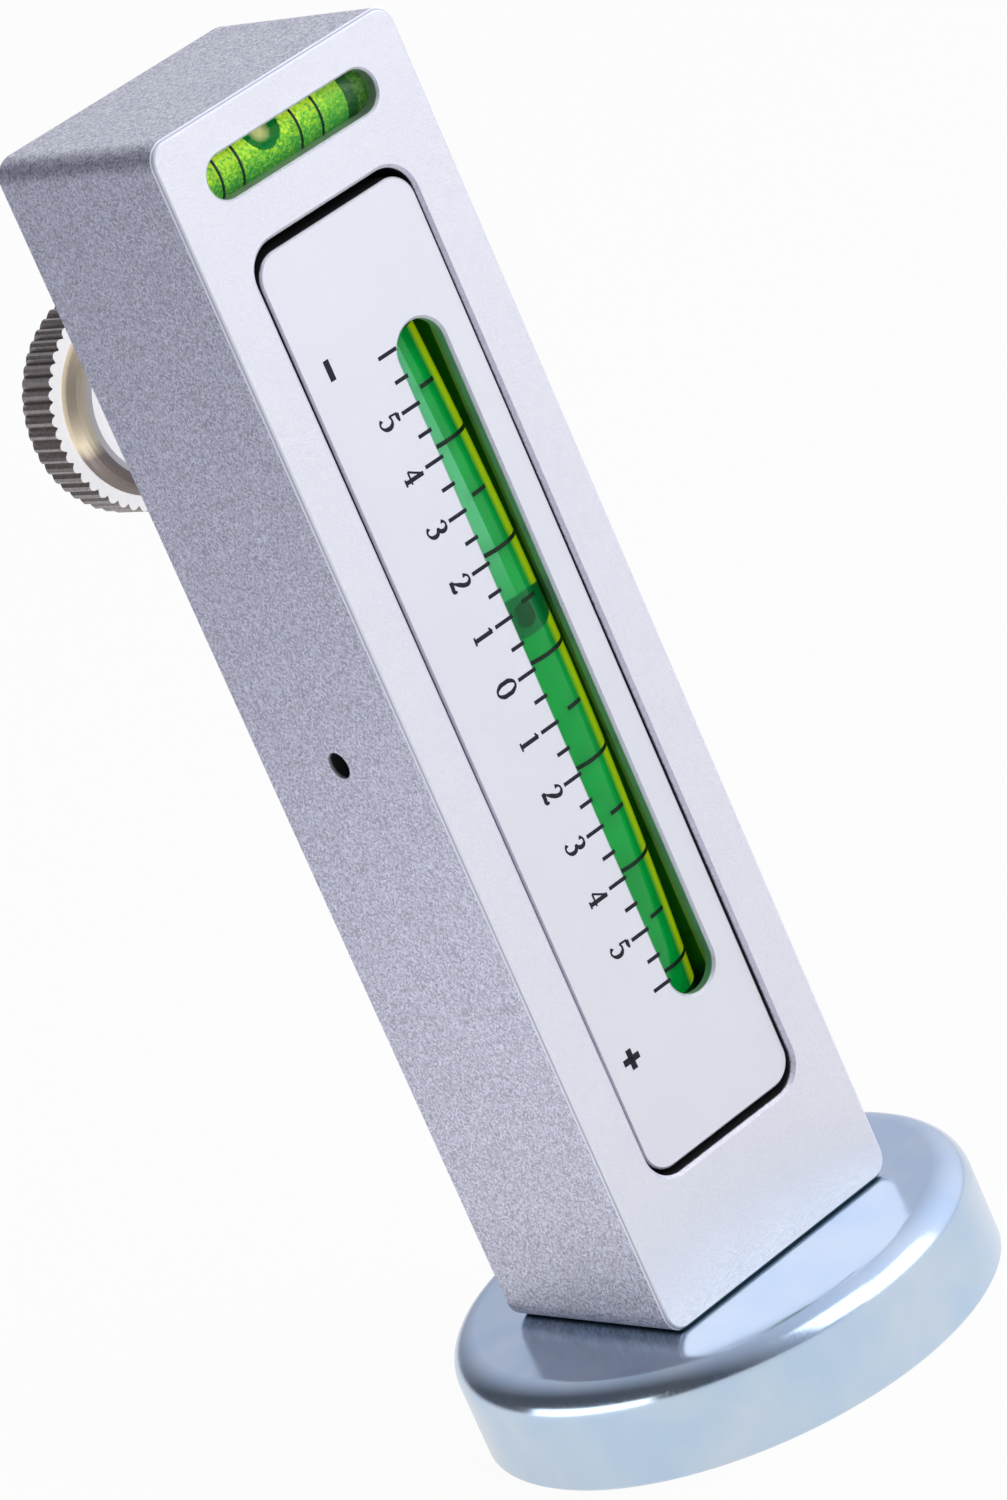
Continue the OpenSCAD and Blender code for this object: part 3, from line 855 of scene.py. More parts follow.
@dataclass(frozen=True)
class ClearTube(Finish):
    """Clear moulded tube, which lets the lamps through to the spirit inside."""

    ior: float = 1.49
    sheen: Colour = WHITE
    smear_size: float = 5 * MM
    smear_limits: Span = (0.4, 0.7)

    def shade(self, shading: Shading) -> None:
        """Makes the shader clear, with a see-through stand-in for light from the lamps.

        Args:
            shading: the material to work on.
        """
        shading.set(Transmission_Weight=1.0, IOR=self.ior, Specular_Tint=self.sheen)
        smear = shading.noise(self.smear_size, detail=2)
        shading.feed("Roughness", shading.span(smear, *self.smear_limits, 0.0, self.roughness))
        through = shading.nodes.new("ShaderNodeBsdfTransparent")
        through.inputs["Color"].default_value = (*self.colour, 1.0)
        shading.either(shading.ray("Shadow"), shading.shader.outputs[0], through.outputs[0])


@dataclass(frozen=True)
class BentSpirit(Finish):
    """Spirit of the camber vial: emerald, with a painted line of light along each side; glows a little.
    """

    # the tube's middle and its bore's radius, and the light that the spirit gives
    middle: float = 0.0
    reach: float = 0.003
    glow: float = 0.3
    cloud_size: float = 3 * MM
    cloud_least: float = 0.82
    # the painted line of refracted light and the painted shade of the edge outside it, in shares of the
    # radius
    line: Colour = (0.72, 0.95, 0.0)
    line_stops: tuple[float, ...] = (0.0, 0.52, 0.74, 0.93, 0.985)
    edge: Colour = (0.002, 0.07, 0.008)
    edge_limits: Span = (0.965, 0.99)
    # the painted reflection: a pale streak along the left of the upper half
    painted_glare: Colour = (0.12, 0.52, 0.26)
    streak_x: float = 0.05 * MM
    streak_x_fade: float = 0.08 * MM
    streak_z: float = 72 * MM
    streak_z_fade: float = 9 * MM
    streak_most: float = 0.8
    # the bubble, painted as a zone of darker shade, shorter towards the tube's sides as its ends are
    # round
    bubble_shade: Colour = (0.0, 0.14, 0.03)
    bubble_z: float = 0.0
    bubble_half: float = 0.001
    bubble_round: float = 0.35
    bubble_limits: Span = (1.05, 0.95)

    def shade(self, shading: Shading) -> None:
        """Adds the painted light and shade across the tube, its painted reflection and the bubble's
        painted shade.

        Args:
            shading: the material to work on.
        """
        aside = shading.off(Axis.X, self.middle)
        share = shading.math("DIVIDE", shading.math("ABSOLUTE", aside), self.reach)
        cloud = shading.noise(self.cloud_size, detail=2)
        whole = shading.mix(shading.span(cloud, *SOFT_NOISE), self.colour,
                            scaled(self.colour, self.cloud_least))
        # painted reflection along the left of the upper half
        left = shading.span(aside, self.streak_x, self.streak_x - self.streak_x_fade)
        upper = shading.span(shading.along(Axis.Z), self.streak_z,
                             self.streak_z + self.streak_z_fade, 0, self.streak_most)
        whole = shading.mix(shading.math("MULTIPLY", left, upper), whole, self.painted_glare)
        # the painted line of refracted light, then painted shade at the tube's edge
        line = shading.ramp(share, *zip(self.line_stops, (BLACK, BLACK, WHITE, WHITE, BLACK)))
        whole = shading.mix(line, whole, self.line)
        whole = shading.mix(shading.span(share, *self.edge_limits), whole, self.edge)
        # the bubble's painted shade
        far = shading.math("ABSOLUTE", shading.off(Axis.Z, self.bubble_z))
        far = shading.math("MULTIPLY_ADD", shading.math("POWER", share, 3), self.bubble_round,
                           shading.math("DIVIDE", far, self.bubble_half))
        whole = shading.mix(shading.span(far, *self.bubble_limits), whole, self.bubble_shade)
        shading.set(Specular_IOR_Level=0.0)
        shading.shine(whole, self.glow)


@dataclass(frozen=True)
class LevelSpirit(Finish):
    """Spirit of the cross level: yellow-green, mottled, with painted light above and painted shade low
    down; glows a little.
    """

    # pale and deep greens of the mottle, which also paint light above and shade below; the deep one also
    # paints the right end's shade
    bright: Colour = (0.7, 0.9, 0.06)
    deep: Colour = (0.05, 0.34, 0.06)
    axis_height: float = 0.0
    reach: float = 0.002
    glow: float = 0.25
    # the mottle: specks and cells, and how far they shift the colour
    speck_size: float = 0.3 * MM
    speck_depth: float = 1.5
    cell_size: float = 0.2 * MM
    cell_depth: float = 0.5
    tone_stops: tuple[float, ...] = (0.1, 0.5, 0.95)
    # the bubble: a painted rim of shade and a painted cream highlight in its middle, with limits in
    # shares of its radius
    bubble_at: Vector = field(default_factory=Vector)
    bubble_r: float = 0.0019
    bubble_ragged: float = 0.08
    bubble_rim_shade: Colour = (0.0, 0.18, 0.035)
    rim_limits: Span = (1.02, 0.96)
    bubble_highlight: Colour = (0.95, 0.85, 0.40)
    cream_limits: Span = (0.66, 0.36)
    # the shade at the right end
    shade_x: float = 0.0045
    shade_fade: float = 1.5 * MM
    shade_most: float = 0.45

    def shade(self, shading: Shading) -> None:
        """Adds the mottle, the bubble's painted rim and highlight, and painted light above and shade
        below.

        Args:
            shading: the material to work on.
        """
        # painted light above the axis and painted shade below it, mixed with the mottle
        up = shading.span(shading.off(Axis.Z, self.axis_height), -self.reach, self.reach)
        speck = shading.noise(self.speck_size, detail=4, roughness=0.8)
        cells = shading.cells(self.cell_size)
        mottle = shading.math("MULTIPLY_ADD", speck, self.speck_depth, -self.speck_depth / 2)
        mottle = shading.math("MULTIPLY_ADD", cells, self.cell_depth,
                              shading.math("SUBTRACT", mottle, self.cell_depth / 2))
        whole = shading.ramp(shading.math("ADD", up, mottle),
                             *zip(self.tone_stops, (self.deep, self.colour, self.bright)))
        out = shading.vectors("LENGTH", shading.mapped(self.bubble_at)).outputs["Value"]
        out = shading.math("MULTIPLY_ADD", mottle, self.bubble_ragged,
                           shading.math("DIVIDE", out, self.bubble_r))
        # painted shade round the bubble's rim and a painted highlight in its middle
        whole = shading.mix(shading.span(out, *self.rim_limits), whole, self.bubble_rim_shade)
        whole = shading.mix(shading.span(out, *self.cream_limits), whole, self.bubble_highlight)
        # painted shade at the right end
        dim = shading.span(shading.along(Axis.X), self.shade_x, self.shade_x + self.shade_fade,
                           0, self.shade_most)
        whole = shading.mix(dim, whole, self.deep)
        shading.set(Specular_IOR_Level=0.0)
        shading.shine(whole, self.glow)


# ---- Modelling helpers ----


class Bench:
    """The operators that each piece is modelled with."""

    @staticmethod
    def clear() -> None:
        """Leaves edit mode and deselects all."""
        if bpy.context.object is not None and bpy.context.object.mode != "OBJECT":
            bpy.ops.object.mode_set(mode="OBJECT")
        bpy.ops.object.select_all(action="DESELECT")

    @staticmethod
    def take(piece: bpy.types.Object) -> None:
        """Selects one piece alone and makes it the active one.

        Args:
            piece: the piece.
        """
        Bench.clear()
        piece.select_set(True)
        bpy.context.view_layer.objects.active = piece

    @staticmethod
    def named(name: str) -> bpy.types.Object:
        """Names the piece that was just added.

        Args:
            name: its new name.

        Returns:
            The piece.
        """
        piece = bpy.context.object
        piece.name = name
        piece.data.name = name
        return piece

    @staticmethod
    def settle(piece: bpy.types.Object) -> None:
        """Moves a piece's place, turn and scale into its mesh.

        Args:
            piece: the piece.
        """
        Bench.take(piece)
        bpy.ops.object.transform_apply(location=True, rotation=True, scale=True)

    @staticmethod
    def apply_modifier(piece: bpy.types.Object, kind: str, **settings: object) -> None:
        """Adds a modifier and applies it.

        Args:
            piece: the piece.
            kind: the modifier's type.
            settings: its settings.
        """
        Bench.take(piece)
        bpy.ops.object.modifier_add(type=kind)
        modifier = piece.modifiers[-1]
        for name, value in settings.items():
            setattr(modifier, name, value)
        bpy.ops.object.modifier_apply(modifier=modifier.name)

    @staticmethod
    def cut(piece: bpy.types.Object, cutter: bpy.types.Object) -> None:
        """Cuts a hollow in a piece and removes the cutter.

        Args:
            piece: the piece.
            cutter: the hollow's shape.
        """
        Bench.apply_modifier(piece, "BOOLEAN", operation="DIFFERENCE", object=cutter,
                             solver="EXACT")
        bpy.data.objects.remove(cutter)

    @staticmethod
    @contextmanager
    def edit(piece: bpy.types.Object, wanted: Callable | None = None,
             mode: str = "FACE") -> Iterator[None]:
        """Keeps edit mode for a while, with some faces, edges or points selected.

        Args:
            piece: the piece.
            wanted: test of a face, edge or point; all are selected without it.
            mode: FACE, EDGE or VERT.

        Yields:
            Nothing; object mode comes back at the end.
        """
        Bench.take(piece)
        bpy.ops.object.mode_set(mode="EDIT")
        bpy.ops.mesh.select_mode(type=mode)
        bpy.ops.mesh.select_all(action="DESELECT")
        bpy.ops.object.mode_set(mode="OBJECT")
        parts = {"FACE": piece.data.polygons, "EDGE": piece.data.edges,
                 "VERT": piece.data.vertices}[mode]
        for part in parts:
            part.select = wanted is None or wanted(part)
        bpy.ops.object.mode_set(mode="EDIT")
        yield
        bpy.ops.object.mode_set(mode="OBJECT")

    @staticmethod
    def join(name: str, pieces: Iterable[bpy.types.Object]) -> bpy.types.Object:
        """Joins pieces of one kind into one.

        Args:
            name: the joined piece's name.
            pieces: what is joined.

        Returns:
            The joined piece.
        """
        pieces = list(pieces)
        Bench.clear()
        for piece in pieces:
            piece.select_set(True)
        bpy.context.view_layer.objects.active = pieces[0]
        if len(pieces) > 1:
            bpy.ops.object.join()
        return Bench.named(name)

    @staticmethod
    def finish(piece: bpy.types.Object, material: bpy.types.Material, slot: str, body: Body,
               smooth_angle: float = 35) -> None:
        """Gives a piece its material, shading and body.

        Args:
            piece: the piece.
            material: its finish.
            slot: the record's material slot; not used.
            body: what it moves with.
            smooth_angle: edges sharper than this stay sharp, in degrees.
        """
        Bench.settle(piece)
        piece.data.materials.clear()
        piece.data.materials.append(material)
        bpy.ops.object.shade_smooth_by_angle(angle=math.radians(smooth_angle))
        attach(piece, body.value)


def dress(node: str, material: bpy.types.Material) -> None:
    """Gives a CAD node a finish.

    Args:
        node: the node's name.
        material: its finish.
    """
    for slot in frame["nodes"][node].material_slots:
        slot.material = material
    log.info("dressed %s with %s", node, material.name)


# ---- Sub-assemblies ----


@dataclass
class Carrier:
    """The tilting carrier: its lean as stored, and the face that the scale is printed on."""

    node: str = "vial_carrier"
    zero_z: float = 68.65 * MM
    pitch: float = 5.18 * MM
    front_normal: float = -0.999
    # the painted shade of the gap: how far behind the face it starts, and its reach to each side
    gap_start: float = 0.1 * MM
    gap_reach: float = 0.5 * MM
    # painted light and shade in the vial's channel: grey-green reflected light by the window, then dark
    # green shade further in
    channel_light_and_shade: tuple[Gap, ...] = (
        (Vector((-2, -10.95, 20)) * MM, Vector((8.7, 0, 116)) * MM, (0.30, 0.50, 0.36)),
        (Vector((-2, -6.95, 20)) * MM, Vector((8.7, 0, 116)) * MM, (0.0, 0.15, 0.01)))
    lean: float = 0.0
    pivot: Vector = field(default_factory=Vector)
    face_y: float = 0.0

    def __post_init__(self) -> None:
        """Reads the lean, the pivot and the face from the frame."""
        joint = next(j for j in frame["joints"] if j["name"] == "carrier_tilt")
        self.pivot = Vector(joint["pos_m"])
        mesh = frame["nodes"][self.node].data
        faces = [p for p in mesh.polygons if p.normal.y < self.front_normal]
        best = max(faces, key=lambda p: p.area)
        self.lean = math.asin(-best.normal.z)
        self.face_y = (self.upright() @ best.center).y

    def leaned(self) -> Matrix:
        """Gives the turn from the carrier's upright frame to its stored lean."""
        shift = Matrix.Translation(self.pivot)
        return shift @ Matrix.Rotation(self.lean, 4, "X") @ shift.inverted()

    def upright(self) -> Matrix:
        """Gives the turn from the stored lean back to upright."""
        return self.leaned().inverted()

    def seat(self, piece: bpy.types.Object) -> None:
        """Leans a piece that was made upright.

        Args:
            piece: the piece, with its place in its mesh.
        """
        with Bench.edit(piece):
            bpy.ops.transform.rotate(value=-self.lean, orient_axis="X", orient_type="GLOBAL",
                                     center_override=self.pivot)

    def sides(self) -> tuple[Gap, ...]:
        """Gives the boxes along the carrier's four sides, behind its face, and their painted shade."""
        low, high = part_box(self.node)
        reach = Vector.Fill(3, self.gap_reach)
        first, last = low - reach, high + reach
        first.y = self.face_y + self.gap_start
        gaps = []
        for axis in (Axis.X.value, Axis.Z.value):
            near, far = last.copy(), first.copy()
            near[axis] = low[axis] + 2 * self.gap_reach
            far[axis] = high[axis] - 2 * self.gap_reach
            gaps += [(first, near, PAINTED_GAP_SHADE), (far, last, PAINTED_GAP_SHADE)]
        return tuple(gaps)

    def dress(self) -> None:
        """Gives the carrier's metal and hidden parts their finishes."""
        plate = BlastedMetal("blasted carrier face", (0.78, 0.795, 0.89), 0.5, grain=0.15 * MM,
                             relief=0.006 * MM, speckle=0.04, pivot=self.pivot,
                             lean=self.lean, crevices=self.channel_light_and_shade + self.sides())
        dress(self.node, plate.build())
        dress("carrier_cover", DrawnMetal("milled cover plate", (0.72, 0.73, 0.76), 0.35).build())
        dress("cover_screws", DrawnMetal("blackened screw steel", (0.06, 0.06, 0.065), 0.4,
                                         axis=Axis.Y).build())
        dress("vial_bed", Moulded("moulded bed", (0.004, 0.15, 0.02), 0.5).build())


Stroke = list[tuple[float, float, float]]


@dataclass
class Glyph:
    """One printed character: strokes through points (across, up, half width)."""

    strokes: list[Stroke]
    closed: bool = False


# half widths of a thin and a thick stroke, in shares of a character's height
THIN = 0.048
THICK = 0.098
GLYPH_MIDDLE = (0.3, 0.5)
# stands a character up: its top to +X, its front to -Y, its reading direction down
READING_DOWN = Matrix(((0, 1, 0, 0), (0, 0, -1, 0), (-1, 0, 0, 0), (0, 0, 0, 1)))
GLYPHS: dict[str, Glyph] = {
    "0": Glyph([[(0.3, 1.0, THIN), (0.54, 0.76, THICK), (0.56, 0.5, THICK), (0.54, 0.24, THICK),
                 (0.3, 0.0, THIN), (0.06, 0.24, THICK), (0.04, 0.5, THICK), (0.06, 0.76, THICK)]],
               closed=True),
    "1": Glyph([[(0.33, 0.0, THICK), (0.33, 0.5, THICK), (0.33, 1.0, THICK)],
                [(0.13, 0.88, THIN), (0.24, 0.93, THIN), (0.33, 1.0, THIN)],
                [(0.14, 0.02, THIN), (0.33, 0.02, THIN), (0.52, 0.02, THIN)]]),
    "2": Glyph([[(0.1, 0.74, THICK), (0.14, 0.9, THIN), (0.3, 1.0, THIN), (0.49, 0.9, THICK),
                 (0.5, 0.7, THICK), (0.36, 0.43, THICK), (0.2, 0.2, THIN), (0.06, 0.05, THIN)],
                [(0.06, 0.06, THICK), (0.3, 0.06, THICK), (0.5, 0.06, THICK),
                 (0.56, 0.2, THIN)]]),
    "3": Glyph([[(0.1, 0.82, THICK), (0.17, 0.95, THIN), (0.31, 1.0, THIN), (0.48, 0.9, THICK),
                 (0.47, 0.67, THICK), (0.27, 0.54, THIN)],
                [(0.27, 0.54, THIN), (0.49, 0.46, THICK), (0.53, 0.24, THICK), (0.38, 0.03, THIN),
                 (0.2, 0.0, THIN), (0.07, 0.12, THICK)]]),
    "4": Glyph([[(0.42, 1.0, THIN), (0.24, 0.66, THIN), (0.03, 0.3, THIN)],
                [(0.03, 0.3, THIN), (0.3, 0.3, THIN), (0.6, 0.3, THIN)],
                [(0.42, 0.0, THICK), (0.42, 0.5, THICK), (0.42, 1.0, THICK)],
                [(0.26, 0.02, THIN), (0.42, 0.02, THIN), (0.58, 0.02, THIN)]]),
    "5": Glyph([[(0.14, 0.96, THICK), (0.3, 0.95, THICK), (0.5, 0.98, THIN)],
                [(0.13, 0.96, THIN), (0.12, 0.75, THIN), (0.1, 0.55, THIN)],
                [(0.1, 0.55, THIN), (0.28, 0.62, THIN), (0.5, 0.5, THICK), (0.53, 0.26, THICK),
                 (0.38, 0.03, THIN), (0.2, 0.0, THIN), (0.07, 0.12, THICK)]]),
    "-": Glyph([[(0.0, 0.5, THICK), (0.3, 0.5, THICK), (0.6, 0.5, THICK)]]),
    "+": Glyph([[(0.0, 0.5, THICK), (0.3, 0.5, THICK), (0.6, 0.5, THICK)],
                [(0.3, 0.2, THICK), (0.3, 0.5, THICK), (0.3, 0.8, THICK)]]),
}


@dataclass
class PrintedScale:
    """The scale printed beside the window: degree ticks, plain numbers and signs."""

    carrier: Carrier
    degrees: int = 6
    tick_end_x: float = 1.0 * MM
    long_tick: float = 2.15 * MM
    short_tick: float = 1.55 * MM
    line: float = 0.36 * MM
    ink: float = 0.03 * MM
    digit_x: float = -2.62 * MM
    digit_height: float = 2.1 * MM
    sign_height: float = 3.2 * MM
    sign_x: float = -6.17 * MM
    sign_z: tuple[float, float] = (101.3 * MM, 33.7 * MM)
    # strokes: how round, how many steps from point to point, and their weld in shares of a height
    stroke_round: int = 1
    stroke_steps: int = 5
    weld: float = 0.0001

    @property
    def ink_y(self) -> float:
        """The middle of the ink, which is sunk a quarter of its depth into the face."""
        return self.carrier.face_y - self.ink / 4

    def tick(self, degree: float) -> bpy.types.Object:
        """Makes one tick, its edges softened as printed ink's are.

        Args:
            degree: its place on the scale.

        Returns:
            The tick.
        """
        length = self.long_tick if degree == int(degree) else self.short_tick
        bpy.ops.mesh.primitive_cube_add(
            size=1, scale=(length, self.ink, self.line),
            location=(self.tick_end_x - length / 2, self.ink_y,
                      self.carrier.zero_z + degree * self.carrier.pitch))
        piece = Bench.named(f"tick_{degree:+.1f}")
        Bench.settle(piece)

        def raised(edge: bpy.types.MeshEdge) -> bool:
            """Tells whether an edge stands in front of the face."""
            return all(piece.data.vertices[v].co.y < self.carrier.face_y for v in edge.vertices)

        with Bench.edit(piece, raised, "EDGE"):
            bpy.ops.mesh.bevel(offset=self.ink / 4, segments=1)
        return piece

    def stroke(self, points: Stroke, closed: bool) -> bpy.types.Object:
        """Draws one stroke as a round bar through its points.

        Args:
            points: its points and half widths.
            closed: whether it runs back to its first point.

        Returns:
            The bar, with the character's middle at its origin.
        """
        curve = bpy.data.curves.new("stroke", "CURVE")
        curve.dimensions = "3D"
        curve.bevel_depth = 1.0
        curve.bevel_resolution = self.stroke_round
        curve.resolution_u = self.stroke_steps
        curve.use_fill_caps = True
        spline = curve.splines.new("BEZIER")
        spline.bezier_points.add(len(points) - 1)
        spline.use_cyclic_u = closed
        middle_across, middle_up = GLYPH_MIDDLE
        for point, (across, up, half) in zip(spline.bezier_points, points):
            point.co = (across - middle_across, up - middle_up, 0.0)
            point.handle_left_type = point.handle_right_type = "AUTO"
            point.radius = half
        bar = bpy.data.objects.new("stroke", curve)
        bpy.context.scene.collection.objects.link(bar)
        Bench.take(bar)
        bpy.ops.object.convert(target="MESH")
        return bpy.context.object

    def character(self, text: str, height: float, x: float, z: float) -> bpy.types.Object:
        """Prints one character that reads down the gauge, its top towards the vial.

        Args:
            text: the character.
            height: its height, across the gauge.
            x: its middle across the gauge.
            z: its middle up the gauge.

        Returns:
            The character.
        """
        glyph = GLYPHS[text]
        piece = Bench.join(f"print_{text}", [
            self.stroke(points, glyph.closed) for points in glyph.strokes])
        with Bench.edit(piece):
            bpy.ops.mesh.remove_doubles(threshold=self.weld)
            bpy.ops.mesh.normals_make_consistent(inside=False)
        flatten = Matrix.Diagonal((height, height, self.ink / THICK / 2, 1))
        piece.matrix_world = Matrix.Translation((x, self.ink_y, z)) @ READING_DOWN @ flatten
        Bench.settle(piece)
        return piece

    def build(self) -> None:
        """Prints the whole scale."""
        halves = range(-2 * self.degrees, 2 * self.degrees + 1)
        marks = [self.tick(half / 2) for half in halves]
        for degree in range(1 - self.degrees, self.degrees):
            marks.append(self.character(str(abs(degree)), self.digit_height, self.digit_x,
                                        self.carrier.zero_z + degree * self.carrier.pitch))
        for sign, z in zip("-+", self.sign_z):
            marks.append(self.character(sign, self.sign_height, self.sign_x, z))
        piece = Bench.join("printed_scale", marks)
        self.carrier.seat(piece)
        ink = PrintedInk("printed ink", (0.008, 0.008, 0.016), 0.5)
        Bench.finish(piece, ink.build(), "black_steel", Body.CARRIER)
        log.info("printed %d marks on the scale", len(marks))


@dataclass
class CamberVial:
    """The long bent vial: tube, spirit, stoppers, and the marks round the tube."""

    carrier: Carrier
    centre_x: float = 3.55 * MM
    crown_y: float = -5.9 * MM
    bow_r: float = 296.79 * MM
    bow_steps: int = 48
    tube_r: float = 4.0 * MM
    bore_r: float = 3.1 * MM
    bubble_degree: float = 0.75
    bubble_half: float = 1.9 * MM
    mark_width: float = 0.4 * MM
    mark_ink: float = 0.03 * MM
    short_mark_angle: float = 14.0
    short_mark_turn: float = 10.0
    last_mark: int = 6
    weld: float = 0.01 * MM

    @property
    def crown(self) -> Vector:
        """The tube's middle, level with the scale's zero."""
        return Vector((self.centre_x, self.crown_y, self.carrier.zero_z))

    @property
    def bow_centre(self) -> Vector:
        """The middle of the tube's bend."""
        return self.crown + Vector((0, self.bow_r, 0))

    def mark(self, degree: int) -> bpy.types.Object:
        """Prints one mark round the tube: a whole ring at even degrees, else a short dash.

        Args:
            degree: its place on the scale.

        Returns:
            The mark.
        """
        bpy.ops.mesh.primitive_cylinder_add(
            vertices=RING_SIDES, radius=self.tube_r + self.mark_ink, depth=self.mark_width,
            end_fill_type="NOTHING", location=(0, 0, 0))
        piece = Bench.named(f"mark_{degree:+d}")
        Bench.settle(piece)
        if degree % 2:
            reach = math.radians(self.short_mark_angle)
            turn = math.radians(self.short_mark_turn)

            def away(face: bpy.types.MeshPolygon) -> bool:
                """Tells whether a face lies outside the short dash."""
                angle = math.atan2(face.center.x, -face.center.y)
                return abs(angle - turn) > reach

            with Bench.edit(piece, away):
                bpy.ops.mesh.delete(type="FACE")
        Bench.apply_modifier(piece, "SOLIDIFY", thickness=self.mark_ink, offset=-1.0)
        piece.matrix_world = (Matrix.Translation(self.bow_centre)
                              @ Matrix.Rotation(-math.radians(degree), 4, "X")
                              @ Matrix.Translation((0, -self.bow_r, 0)))
        Bench.settle(piece)
        return piece

    def tube(self) -> bpy.types.Object:
        """Models the filled tube as one clear rod, as spirit and tube bend light alike.

        Returns:
            The bent rod.
        """
        low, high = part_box("camber_vial_tube")
        half = math.asin((high.z - low.z) / 2 / (self.bow_r + self.tube_r))
        bpy.ops.mesh.primitive_circle_add(
            vertices=TUBE_SIDES, radius=self.tube_r, fill_type="NGON", location=self.crown)
        piece = Bench.named("camber_tube")
        Bench.settle(piece)
        with Bench.edit(piece):
            bpy.ops.transform.rotate(value=-half, orient_axis="X", orient_type="GLOBAL",
                                     center_override=self.bow_centre)
            bpy.ops.mesh.spin(steps=self.bow_steps, angle=2 * half, center=self.bow_centre,
                              axis=(1, 0, 0))
            bpy.ops.mesh.select_all(action="SELECT")
            bpy.ops.mesh.remove_doubles(threshold=self.weld)
            bpy.ops.mesh.normals_make_consistent(inside=False)
        return piece

    def build(self) -> None:
        """Dresses the vial and prints its marks."""
        tube = self.tube()
        self.carrier.seat(tube)
        clear = ClearTube("clear camber tube", (0.93, 1.0, 0.95), 0.02,
                          sheen=(0.7, 1.0, 0.8))
        Bench.finish(tube, clear.build(), "vial_tube", Body.CARRIER, smooth_angle=TUBE_SMOOTH)
        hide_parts("camber_vial_tube")
        spirit = BentSpirit("emerald spirit", (0.0, 0.34, 0.05), 0.12, middle=self.centre_x,
                            reach=self.bore_r, bubble_half=self.bubble_half,
                            bubble_z=self.carrier.zero_z
                            + self.bubble_degree * self.carrier.pitch)
        dress("camber_vial_fluid", spirit.build())
        stopper = Moulded("dark green stopper", (0.004, 0.1, 0.03), 0.3).build()
        for end in ("upper", "lower"):
            dress(f"camber_vial_stopper_{end}", stopper)
        degrees = range(-self.last_mark, self.last_mark + 1)
        piece = Bench.join("camber_marks", [self.mark(degree) for degree in degrees])
        self.carrier.seat(piece)
        ink = PrintedInk("vial ink", (0.003, 0.02, 0.006), 0.4)
        Bench.finish(piece, ink.build(), "green_stopper", Body.CARRIER)
        log.info("camber vial dressed, marks at whole degrees")


